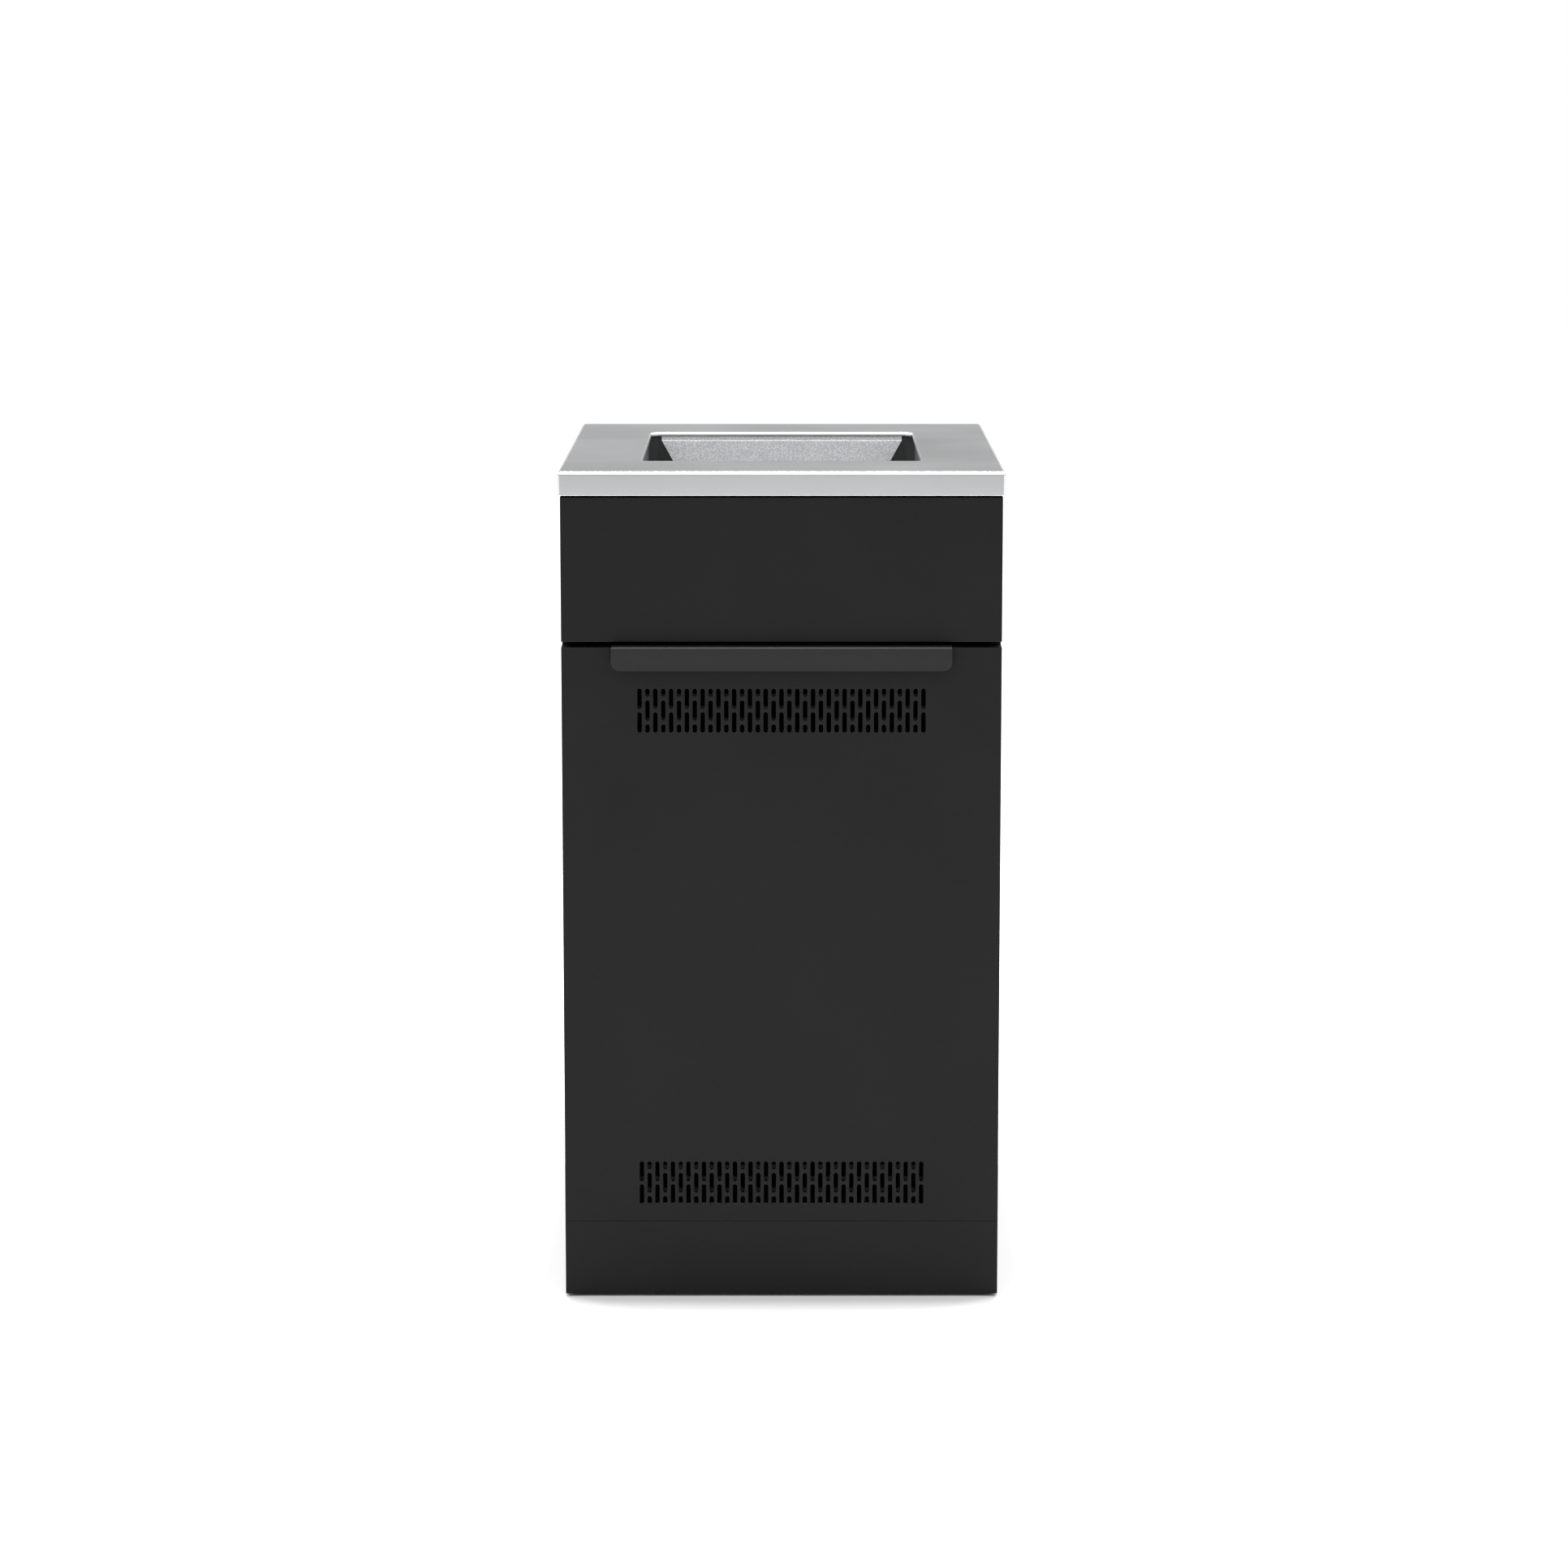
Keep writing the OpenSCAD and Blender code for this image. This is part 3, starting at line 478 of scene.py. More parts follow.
def thread(work, centre, core, crest, z0, z1, pitch, count=32):
    """A bar with a helical ridge of trapezoid form."""
    per_turn = 8
    shape = [0.0, 0.0, 0.5, 1.0, 1.0, 1.0, 0.5, 0.0]
    rows = round((z1 - z0) / pitch * per_turn)
    x, y = centre
    rings = []
    for row in range(rows + 1):
        ring = []
        for k in range(count):
            place = (row - per_turn * k / count) % per_turn
            low = int(place)
            share = place - low
            height = shape[low] * (1 - share) + shape[(low + 1) % per_turn] * share
            radius = core + (crest - core) * height
            a = tau * k / count
            ring.append((x + radius * cos(a), y + radius * sin(a),
                         z0 + (z1 - z0) * row / rows))
        rings.append(ring)
    loft(work, rings)


def bolt(work, centre, axis, radius=4, height=1.6):
    """A pan-head screw head with a cross recess, standing on a plane."""
    arm, thick = radius * 0.5, radius * 0.13
    cross, end = [], [(arm, -thick), (arm, thick), (thick, thick)]
    for _ in range(4):
        cross += end
        end = [(-v, u) for u, v in end]
    side = axis.orthogonal().normalized()
    other = axis.cross(side)
    origin = Vector(centre)

    def place(u, v, w):
        return origin + side * u + other * v + axis * w

    plate(work, circle(0, 0, radius, 24), [cross], 0.3 * height, height, place, 0.3 * height, 3)
    plate(work, circle(0, 0, radius * 0.98, 24), [], 0, 0.4 * height, place, 0.1)


# ---------------- pieces


def linked(name, work):
    """A new object with the work as its mesh, scaled to metres."""
    bmesh.ops.scale(work, vec=(MM, MM, MM), verts=work.verts[:])
    mesh = bpy.data.meshes.new(name)
    work.to_mesh(mesh)
    work.free()
    made = bpy.data.objects.new(name, mesh)
    bpy.context.scene.collection.objects.link(made)
    return made


def piece(name, work, *nodes, smooth_angle=50):
    """Turns the work into a piece that rides with its nodes' body and stands for them."""
    bmesh.ops.remove_doubles(work, verts=work.verts[:], dist=1e-4)
    bmesh.ops.recalc_face_normals(work, faces=work.faces[:])
    limit = radians(smooth_angle)
    for face in work.faces:
        face.smooth = True
    for edge in work.edges:
        edge.smooth = len(edge.link_faces) == 2 and edge.calc_face_angle(0) < limit
    made = linked(name, work)
    made.data.materials.append(MATERIALS[SLOT_OF[nodes[0]]])
    normals = made.modifiers.new("flat_faces", "WEIGHTED_NORMAL")
    normals.keep_sharp = True
    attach(made, BODY_OF[nodes[0]])
    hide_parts(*nodes)
    return made


def flat_piece(name, node, *shape):
    """A piece made of one flat plate."""
    work = bmesh.new()
    plate(work, *shape)
    piece(name, work, node)


def span(node):
    """The (low, high) spans of a node along X, Y and Z."""
    return [(low / MM, high / MM) for low, high in zip(*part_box(node))]


def middle(node):
    low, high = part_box(node)
    return (low + high) / (2 * MM)


def around(node):
    """The three spans of a node, and its middle."""
    return *span(node), middle(node)


def named(rows, name):
    """A joint or a mount of the record, and its place in millimetres."""
    row = next(row for row in rows if row["name"] == name)
    return row, Vector(row["pos_m"]) / MM


# ---------------- outside

SHEET = 1.2


def make_worktop():
    """A folded sheet: flange, bend, top, and the rolled rim of the feed opening."""
    (x0, x1), (y0, y1), (z0, z1) = span("countertop")
    _, (liner_y0, liner_y1), _ = span("chute_liner")
    centre_y = (y0 + y1) / 2
    hole_y = (liner_y0 + liner_y1) / 2
    hole_w, hole_d, hole_r = 295, 361, 9
    bend, corner, rim, collar = 4, 2.5, 1.5, 4
    lip = SHEET / 2

    def ring(y, width, depth, radius, out, z):
        outline = round_rect(0, y, width + 2 * out, depth + 2 * out, max(radius + out, 0.3), 8)
        return [(u, v, z) for u, v in outline]

    def outer(inset, z):
        return ring(centre_y, x1 - x0, y1 - y0, corner, -inset, z)

    def inner(offset, z):
        return ring(hole_y, hole_w, hole_d, hole_r, offset, z)

    rings = [outer(lip + lip * cos(a), z0 + lip - lip * sin(a)) for a in arc(0, pi, 6)]
    rings += [outer(bend * (1 - cos(a)), z1 - bend + bend * sin(a)) for a in arc(0, pi / 2, 6)]
    rings += [inner(rim * (1 - sin(a)), z1 - collar * (1 - cos(a))) for a in arc(0, pi / 2, 8)]
    rings += [inner(SHEET, z1 - collar), inner(rim, z1 - SHEET)]
    rings += [outer(bend, z1 - SHEET), outer(SHEET, z1 - bend)]
    work = bmesh.new()
    loft(work, rings, closed=True)
    piece("worktop_sheet", work, "countertop")


SLOT_W, SLOT_LONG, SLOT_SHORT = 4.8, 21.6, 8.8
SLOT_PITCH, SLOT_RISE, SLOT_COLUMNS = 8.19, 24.7, 37


def vent_slots(z, extra=0.0):
    """The slots of one grid; the lowest ones are longer by extra."""
    slots = []
    for i in range(SLOT_COLUMNS):
        x = (i - (SLOT_COLUMNS - 1) / 2) * SLOT_PITCH
        if i % 2 == 0:
            rows = [(SLOT_RISE / 2, SLOT_LONG), (-(SLOT_RISE + extra) / 2, SLOT_LONG + extra)]
        else:
            end = (SLOT_RISE + SLOT_LONG - SLOT_SHORT) / 2
            rows = [(0, SLOT_LONG), (end, SLOT_SHORT), (-end - extra / 2, SLOT_SHORT + extra)]
        slots += [slot_outline(x, z + rise, SLOT_W, length) for rise, length in rows]
    return slots


def make_pan(name, node, slots=(), rise=0.0):
    """A folded front pan with small round bends, open at the back; rise lifts its top edge."""
    (x0, x1), (y0, y1), (z0, z1) = span(node)
    z1 += rise
    bend, edge = 0.8, 0.15
    core = rect(x0 + bend, x1 - bend, z0 + bend, z1 - bend)
    inside = rect(x0 + SHEET, x1 - SHEET, z0 + SHEET, z1 - SHEET)
    work = bmesh.new()
    front, *near_rims = flat_face(work, core, [grow(slot, edge) for slot in slots], y0, on_y)
    back, *far_rims = flat_face(work, inside, slots, y0 + SHEET, on_y)

    def loops(first, stations, last):
        between = ([work.verts.new((u, y, v)) for u, v in points] for y, points in stations)
        rings = [first, *between, last]
        for one, two in zip(rings, rings[1:]):
            bridge(work, one, two)

    for slot, near, far in zip(slots, near_rims, far_rims):
        loops(near, [(y0 + edge * (1 - cos(a)), grow(slot, edge * (1 - sin(a))))
                     for a in arc(0, pi / 2, 2)[1:]], far)
    outer = [(y0 + bend * (1 - cos(a)), grow(core, bend * sin(a))) for a in arc(0, pi / 2, 4)[1:]]
    loops(front, [*outer, (y1, grow(core, bend)), (y1, inside)], back)
    piece(name, work, node)


def make_inner_skin(upper_z, lower_z):
    """The drawer's inner skin, with the same slots as the front but longer at the bottom."""
    x, y, z = span("drawer_back_plate")
    slots = vent_slots(upper_z, 6) + vent_slots(lower_z, 6)
    flat_piece("drawer_inner_skin", "drawer_back_plate", rect(*x, *z), slots, *y, on_y, 0.2)


def make_handle():
    """A flat leg, a bend and a lip with round lower corners, cut from one sheet."""
    (x0, x1), (y0, y1), (z0, z1) = span("drawer_handle")
    thick, bend, corner, pull, steps = 2, 3, 9, 0.5, 10
    leg = y1 - y0 - bend
    turn = pi / 2 * bend
    total = leg + turn + z1 - z0 - bend
    stations = [0, leg / 2] + [leg + turn * k / 6 for k in range(7)] + [total - 1.3 * corner]
    stations += [total - corner * (1 - sin(a)) for a in arc(0, pi / 2, steps)]

    def section(s):
        """The sheet's outline at a distance along it, from the leg's end."""
        wide = (x1 - x0) / 2
        over = s - (total - corner)
        if over > 0:
            wide += sqrt(max(corner ** 2 - over ** 2, 0)) - corner
        faces = []
        for depth in (0, thick):
            if s <= leg:
                y, z = y1 - s, z1 - depth
            elif s <= leg + turn:
                a = (s - leg) / bend
                y = y0 + bend - (bend - depth) * sin(a)
                z = z1 - bend + (bend - depth) * cos(a)
            else:
                y, z = y0 + depth, z1 - bend - (s - leg - turn)
            faces.append(Vector((0, y, z)))
        half = [(wide - pull, 0), (wide, 0.25), (wide, 0.75), (wide - pull, 1)]
        return [faces[0].lerp(faces[1], share) + X_AXIS * u
                for u, share in half + [(-u, share) for u, share in half[::-1]]]

    work = bmesh.new()
    loft(work, [section(s) for s in stations])
    piece("edge_pull", work, "drawer_handle")


def make_side_panels():
    """Two sheets with folded front, back and top edges."""
    for name, node, flip in (("left_side", "left_side_panel", True),
                             ("right_side", "right_side_panel", False)):
        (x0, x1), (y0, y1), (z0, z1) = span(node)
        outside = max(abs(x0), abs(x1))
        front, fold, web = outside - 5.5, outside - 20, outside - SHEET
        outline = [(front, y0), (outside, y0), (outside, y1), (fold, y1), (fold, y1 - SHEET),
                   (web, y1 - SHEET), (web, y0 + SHEET), (front, y0 + SHEET)]
        top = rect(fold, outside - SHEET / 2, y0 + SHEET / 2, y1 - SHEET / 2)
        work = bmesh.new()
        plate(work, mirrored(fillet(outline, 1.2), flip), [], z0, z1)
        plate(work, mirrored(top, flip), [], z1 - SHEET, z1, on_z, 0.3)
        piece(name, work, node)


FAN_BORE, FAN_SCREW = 38, 35.75
FITTING_SIZE = (28, 20)


def make_back():
    """The back panel, and the louvred cover over the drive with its screws and the fan's."""
    x, y, z = span("back_panel")
    fan, inlet, switch = middle("fan_guard"), middle("power_inlet"), middle("switch_bezel")
    (cover_x0, cover_x1), cover_y, (cover_z0, cover_z1), cover = around("access_cover")
    anchors, anchor = named(MOUNTS, "rear_anchor_holes")
    anchor_x = anchors["dims"]["spacing_x_mm"] / 2
    inset, lip, screw_r = 10, 20, 2.2
    cover_screws = corners(cover.x, cover.z, (cover_x1 - cover_x0) / 2 - inset,
                           (cover_z1 - cover_z0) / 2 - inset)
    fan_screws = corners(fan.x, fan.z, FAN_SCREW, FAN_SCREW)
    holes = [circle(fan.x, fan.z, FAN_BORE, 48)]
    holes += [round_rect(m.x, m.z, *FITTING_SIZE, 1) for m in (inlet, switch)]
    holes.append(fillet(rect(cover_x0 + lip, cover_x1 - lip, cover_z0 + lip, cover_z1 - lip), 3))
    holes += [circle(s * anchor_x, anchor.z, 3, 20) for s in (-1, 1)]
    holes += [circle(u, v, screw_r, 16) for u, v in cover_screws + fan_screws]
    flat_piece("rear_panel", "back_panel", fillet(rect(*x, *z), 1), holes, *y, on_y, 0.3)

    louvre_w, louvre_length, column, row = 5, 80, 60, 16
    louvre = mirrored(slot_outline(0, 0, louvre_w, louvre_length))
    slots = [[(s * column - v, cover.z + i * row + u) for u, v in louvre]
             for i in range(-4, 5) for s in (-1, 1)]
    slots += [circle(u, v, screw_r, 16) for u, v in cover_screws]
    outline = fillet(rect(cover_x0, cover_x1, cover_z0, cover_z1), 6, 6)
    flat_piece("rear_cover", "access_cover", outline, slots, *cover_y, on_y, 0.3)

    work = bmesh.new()
    _, (_, head_y), _ = span("panel_screws")
    for u, v in cover_screws:
        bolt(work, (u, cover_y[1], v), Y_AXIS, 4, 1.4)
        rod(work, (u, y[0] - 6, v), (u, cover_y[1], v), 2)
    for u, v in fan_screws:
        bolt(work, (u, head_y - 1.4, v), Y_AXIS, 4, 1.4)
        rod(work, (u, y[0] - 6, v), (u, head_y - 1, v), 2)
    piece("panel_fixings", work, "panel_screws")


def fitting(name, node, mouth, rim_r, body_r, lip, edge, body_edge, floor):
    """A flanged body in the back panel, with a mouth and a closed inner end."""
    (x0, x1), (y0, y1), (z0, z1), centre = around(node)
    mouth = [(centre.x + u, centre.z + v) for u, v in mouth]
    body = round_rect(centre.x, centre.z, *FITTING_SIZE, body_r)
    work = bmesh.new()
    plate(work, fillet(rect(x0, x1, z0, z1), rim_r), [mouth], y1 - lip, y1, on_y, edge)
    plate(work, body, [mouth], y0, y1 - lip + 0.4, on_y, body_edge)
    plate(work, grow(body, -1), [], y0, y0 + floor, on_y)
    piece(name, work, node)


def make_inlet_and_switch():
    """The mains inlet with its recess, the switch bezel and the dished rocker."""
    mouth = [(-12, -8), (12, -8), (12, 4), (8, 8), (-8, 8), (-12, 4)]
    fitting("mains_inlet", "power_inlet", fillet(mouth, 1), 5, 1.5, 2.4, 0.8, 0.4, 3)
    mouth = round_rect(0, 0, 25, 17, 0.6)
    fitting("switch_frame", "switch_bezel", mouth, 2, 1, 1.6, 0.6, 0.2, 2)

    _, pivot = named(JOINTS, "power_rocker_tilt")
    tilt = radians(8)
    reach, rise, dish = 7.6, 4.6, 1.3
    dished = arc(-reach * 0.9, reach * 0.9, 10)
    outline = [(-1, -reach), (rise, -reach)]
    outline += [(rise - dish * (1 - (v / reach) ** 2), v) for v in dished]
    outline += [(rise, reach), (-1, reach)]
    turned = [(pivot.y + u * cos(tilt) - v * sin(tilt),
               pivot.z + u * sin(tilt) + v * cos(tilt)) for u, v in outline]
    half = 12
    work = bmesh.new()
    plate(work, turned, [], pivot.x - half, pivot.x + half, on_x, 0.5)
    rod(work, pivot - X_AXIS * half, pivot + X_AXIS * half, 3)
    piece("rocker_key", work, "power_rocker")


def make_fan():
    """The fan's housing with struts, and its rotor with twisted blades."""
    (x0, x1), (y0, y1), (z0, z1), centre = around("fan_housing")
    bore = circle(centre.x, centre.z, FAN_BORE, 48)
    screws = [circle(u, v, 2.15, 16) for u, v in corners(centre.x, centre.z, FAN_SCREW, FAN_SCREW)]
    square = fillet(rect(x0, x1, z0, z1), 5, 6)
    work = bmesh.new()
    for a, b in ((y0, y0 + 4), (y1 - 4, y1)):
        plate(work, square, [bore, *screws], a, b, on_y)
    plate(work, circle(centre.x, centre.z, 39.6, 48), [bore], y0 + 3, y1 - 3, on_y)
    for a in arc(0, tau, 4)[:-1]:
        arm = Vector((cos(a), 0, sin(a)))
        start = Vector((centre.x, y0 + 1.5, centre.z)) + arm * 14
        rod(work, start, start + arm * 25, 1.6)
    tube(work, (centre.x, y0, centre.z), 3.1, 17, 0, 3, axis=Y_AXIS)
    piece("fan_frame", work, "fan_housing")

    centre = Vector((centre.x, y0 + 4, centre.z))
    work = bmesh.new()
    lathe(work, [(0, -3.9), (2.9, -3.9), (2.9, 0), (15, 0), (16, 1), (16, 15), (14, 18),
                 (4, 18), (3, 17.4), (0, 17.4)], centre, Y_AXIS)
    blades, hub, length, thick, camber = 7, 15, 20.5, 0.9, 1.6
    for blade in range(blades):
        rings = []
        for share in arc(0, 1, 6):
            angle = tau * blade / blades + 0.25 * share
            outward = Vector((cos(angle), 0, sin(angle)))
            along = Vector((-sin(angle), 0, cos(angle)))
            pitch = radians(42 - 16 * share)
            chord = 17 + 6 * share
            ring = []
            for k in range(12):
                a = tau * k / 12
                s, t = chord / 2 * cos(a), thick * sin(a)
                t += camber * (1 - (2 * s / chord) ** 2)
                rise = 9 + s * sin(pitch) + t * cos(pitch)
                turn = s * cos(pitch) - t * sin(pitch)
                out = outward * (hub + length * share)
                ring.append(centre + out + Y_AXIS * rise + along * turn)
            rings.append(ring)
        loft(work, rings)
    piece("fan_blades", work, "fan_rotor", smooth_angle=40)


# ---------------- cabinet inside


def make_floor_parts():
    """Base pan, front rail and levelling feet."""
    (x0, x1), (y0, y1), (z0, z1) = span("base_pan")
    _, _, (_, feet_z1) = span("levelling_feet")
    foot_x, foot_y = 190, 250
    feet = corners(0, middle("levelling_feet").y, foot_x, foot_y)
    anchors, anchor = named(MOUNTS, "floor_anchor_holes")
    half_x, half_y = anchors["dims"]["spacing_x_mm"] / 2, anchors["dims"]["spacing_y_mm"] / 2
    outline = fillet(rect(x0, x1, y0, y1), 3)
    holes = [circle(*foot, 5.2, 24) for foot in feet]
    holes += [circle(u, v, 4, 24) for u, v in corners(anchor.x, anchor.y, half_x, half_y)]
    work = bmesh.new()
    plate(work, outline, holes, z0, z0 + 2)
    plate(work, outline, [grow(outline, -2)], z0 + 1, z1)
    for y in (y0 + 0.3 * (y1 - y0), y0 + 0.7 * (y1 - y0)):
        brick(work, (x0 + 60, x1 - 60), (y - 12, y + 12), (z0 + 1, z0 + 4), 1)
    piece("floor_pan", work, "base_pan")

    (x0, x1), (y0, y1), (z0, z1) = span("front_cross_rail")
    t = 2
    outline = [(y0, z0), (y1, z0), (y1, z0 + t), (y0 + t, z0 + t), (y0 + t, z1 - t), (y1, z1 - t),
               (y1, z1), (y0, z1)]
    flat_piece("front_rail", "front_cross_rail", fillet(outline, 1.5), [], x0, x1, on_x, 0.3)

    work = bmesh.new()
    for u, v in feet:
        lathe(work, [(0, 1), (14, 1), (15, 0), (17, 0), (18, 1),
                     (18, 4), (15, 7), (8, 8), (0, 8)], (u, v, 0))
        plate(work, fillet(circle(u, v, 9, 6), 0.6), [], 8, 13, on_z, 0.6)
        thread(work, (u, v), 4.4, 5, 12.5, feet_z1, 1.5, 20)
    piece("feet", work, "levelling_feet")


def make_chute():
    """Dark liner with a flange, and the bright plate on its back wall with a pressed step."""
    (x0, x1), (y0, y1), (z0, z1), centre = around("chute_liner")
    wall, flange = 1.5, 10.5
    width, depth = x1 - x0 - 2 * flange, y1 - y0 - 2 * flange
    outer = round_rect(0, centre.y, width, depth, 12)
    inner = grow(outer, -wall)
    work = bmesh.new()
    plate(work, outer, [inner], z0, z1)
    plate(work, round_rect(0, centre.y, x1 - x0, y1 - y0, 22), [inner], z1 - wall, z1)
    plate(work, grow(outer, 2.5), [grow(outer, -0.1)], z0, z0 + 5, on_z, 1)
    piece("chute_walls", work, "chute_liner")

    (x0, x1), (y0, y1), (z0, z1) = span("deflector_plate")
    tail, tail_z, band_z, step = 102, 805, z1 - 5, 1.1

    def half_width(z):
        share = min(max((band_z - z) / (band_z - tail_z), 0), 1)
        return x1 + (tail - x1) * share

    levels = [(z1, 0.0), (band_z + 0.5 * step, 0.0)]
    levels += [(band_z - 0.5 * step + step * cos(a), step * sin(a)) for a in arc(0.3, pi / 2, 5)]
    levels += [(tail_z, step), (z0, step)]
    rings = []
    for z, out in levels:
        half = half_width(z)
        rings.append([(-half, y0 - out, z), (half, y0 - out, z), (half, y1, z), (-half, y1, z)])
    work = bmesh.new()
    loft(work, rings)
    piece("deflector_sheet", work, "deflector_plate")


def make_electrics():
    """Control box with ribs and a screwed lid, the drawer's sensor and its magnet."""
    (x0, x1), (y0, y1), (z0, z1), centre = around("control_box")
    lid = z1 - 4
    work = bmesh.new()
    brick(work, (x0 + 4, x1 - 4), (y0 + 2, y1 - 2), (z0, lid), 1.5, 4)
    brick(work, (x0, x1), (y0, y1), (lid, z1), 1.2, 5)
    for u in arc(x0 + 4, x1 - 4, 5)[1:-1]:
        brick(work, (u - 1, u + 1), (y0 + 1, y1 - 1), (z0 + 4, lid), 0.5)
    for place in corners(centre.x, centre.y, (x1 - x0) / 2 - 7, (y1 - y0) / 2 - 7):
        bolt(work, (*place, z1 - 1.2), Z_AXIS, 3, 1.2)
    piece("control_case", work, "control_box")

    for name, node, hole in (("sensor_body", "drawer_sensor", 8),
                             ("magnet_body", "sensor_magnet", 7)):
        x, y, z, centre = around(node)
        holes = [circle(centre.x + s * hole, centre.z, 1.6, 16) for s in (-1, 1)]
        flat_piece(name, node, fillet(rect(*x, *z), 1.5), holes, *y, on_y, 0.6)


def make_slides():
    """Three nested channels on each side, with folded lips and rivets."""
    for side in ("left", "right"):
        for part in ("outer", "middle", "inner"):
            node = f"slide_{part}_{side}"
            (x0, x1), (y0, y1), (z0, z1) = span(node)
            flip = side == "left"
            low, high = min(abs(x0), abs(x1)), max(abs(x0), abs(x1))
            t = 1.6
            outline = [(low, z0), (high, z0), (high, z1), (low, z1), (low, z1 - t),
                       (high - t, z1 - t), (high - t, z0 + t), (low, z0 + t)]
            web = high
            if part == "inner":
                outline = [(low + high - u, v) for u, v in reversed(outline)]
                web = low + t
            work = bmesh.new()
            plate(work, mirrored(fillet(outline, 1.2), flip), [], y0, y1, on_y, 0.3)
            sign = -1 if flip else 1
            for share in (0.06, 0.28, 0.5, 0.72, 0.94):
                place = (sign * (web - t), y0 + share * (y1 - y0), (z0 + z1) / 2)
                lathe(work, [(3.4, 0), (3.2, 0.5), (2, 0.8), (0, 0.8)], place, X_AXIS * -sign, 16)
            piece(f"{part}_channel_{side}", work, node)


# ---------------- drawer


def make_filter(name, node):
    """A cassette frame round a pleated carbon mat."""
    (x0, x1), (y0, y1), (z0, z1) = span(node)
    frame_w, pleats = 6, 52
    outline = rect(x0, x1, z0, z1)
    work = bmesh.new()
    plate(work, fillet(outline, 2), [grow(outline, -frame_w)], y0, y1, on_y, 0.8)
    front, back = [], []
    for k in range(2 * pleats + 1):
        x = x0 + frame_w - 0.5 + (x1 - x0 - 2 * frame_w + 1) * k / (2 * pleats)
        y = y0 + (1.5 if k % 2 else 8)
        front.append((x, y))
        back.append((x, y + 4))
    outline = front + back[::-1]
    loft(work, [[(x, y, z) for x, y in outline] for z in (z0 + 5, z1 - 5)])
    piece(name, work, node, smooth_angle=20)


def make_drawer_inside():
    """Seal, tray, waste bin and bag ring."""
    x, y, z = span("drawer_seal")
    outer = fillet(rect(*x, *z), 6, 6)
    flat_piece("door_seal", "drawer_seal", outer, [grow(outer, -8)], *y, on_y, 0.3)

    (x0, x1), (y0, y1), (z0, z1) = span("drawer_tray")
    _, _, (_, slide_top) = span("slide_outer_left")
    t = 2
    side_top = slide_top + 17.5
    work = bmesh.new()
    holes = [round_rect(0, y0 + share * (y1 - y0), 240, 60, 20) for share in (0.25, 0.5, 0.75)]
    plate(work, rect(x0, x1, y0, y1), holes, z0, z0 + t)
    wall = fillet([(y0, z0), (y1, z0), (y1, side_top), (y0, side_top)], 3)
    windows = [round_rect(y0 + share * (y1 - y0), z0 + 90, 90, 90, 12) for share in (0.2, 0.5, 0.8)]
    for s in (-1, 1):
        faces = sorted((s * x1, s * (x1 - t)))
        plate(work, wall, windows, *faces, on_x)
        gusset = sorted((s * x1, s * (x1 - 24)))
        plate(work, fillet(rect(*gusset, z0, z1), 3), [], y0, y0 + t, on_y)
    plate(work, fillet(rect(x0, x1, z0, 160), 3), [], y1 - t, y1, on_y)
    piece("tray_sheet", work, "drawer_tray")

    (x0, x1), (y0, y1), (z0, z1), centre = around("waste_bin")
    rim_w, wall = 4, 3

    def ring(inset, height):
        outline = round_rect(0, centre.y, x1 - x0 - 2 * inset, y1 - y0 - 2 * inset, 26 - inset, 8)
        return [(u, v, height) for u, v in outline]

    step_z = z0 + 0.62 * (z1 - z0)
    outside = [(rim_w + 12, z0), (rim_w + 8, z0 + 1), (rim_w + 5, z0 + 5),
               (rim_w + 2.4, step_z), (rim_w + 0.6, step_z + 5), (rim_w, z1 - 10),
               (rim_w, z1 - 4.4), (0.6, z1 - 4), (0, z1 - 3.4), (0, z1 - 1),
               (1, z1), (rim_w + wall - 1, z1), (rim_w + wall, z1 - 1)]
    inside = [(rim_w + wall + 0.6, step_z + 5), (rim_w + wall + 2.4, step_z),
              (rim_w + wall + 5, z0 + 8), (rim_w + wall + 9, z0 + 4)]
    work = bmesh.new()
    loft(work, [ring(inset, height) for inset, height in outside + inside])
    grip = slot_outline(0, 0, 26, 110)
    cutter = bmesh.new()
    plate(cutter, [(centre.y + v, z1 - 40 - u) for u, v in grip], [], x0 - 5, x1 + 5, on_x)
    made = piece("bin_tub", work, "waste_bin")
    cut(made, cutter)

    (x0, x1), (y0, y1), (z0, z1) = span("bag_ring")
    outer = round_rect(0, centre.y, x1 - x0, y1 - y0, 25, 8)
    work = bmesh.new()
    plate(work, outer, [grow(outer, -5)], z0, z1, on_z, 1.8, 3)
    for clip_y in ((y0, y0 + 2.5), (y1 - 2.5, y1)):
        brick(work, (-24, 24), clip_y, (z0 + 0.5, z1 - 0.2), 0.8)
    piece("bag_frame", work, "bag_ring")


def cut(made, cutter):
    """Takes the cutter's shape out of a piece and bakes the result into its mesh."""
    bmesh.ops.recalc_face_normals(cutter, faces=cutter.faces[:])
    tool = linked("cutter", cutter)
    boolean = made.modifiers.new("cut", "BOOLEAN")
    boolean.operation = "DIFFERENCE"
    boolean.solver = "EXACT"
    boolean.object = tool
    made.modifiers.move(len(made.modifiers) - 1, 0)
    view = bpy.context.evaluated_depsgraph_get()
    result = bpy.data.meshes.new_from_object(made.evaluated_get(view))
    made.modifiers.remove(made.modifiers["cut"])
    made.data = result
    bpy.data.objects.remove(tool)


# ---------------- drive and ram


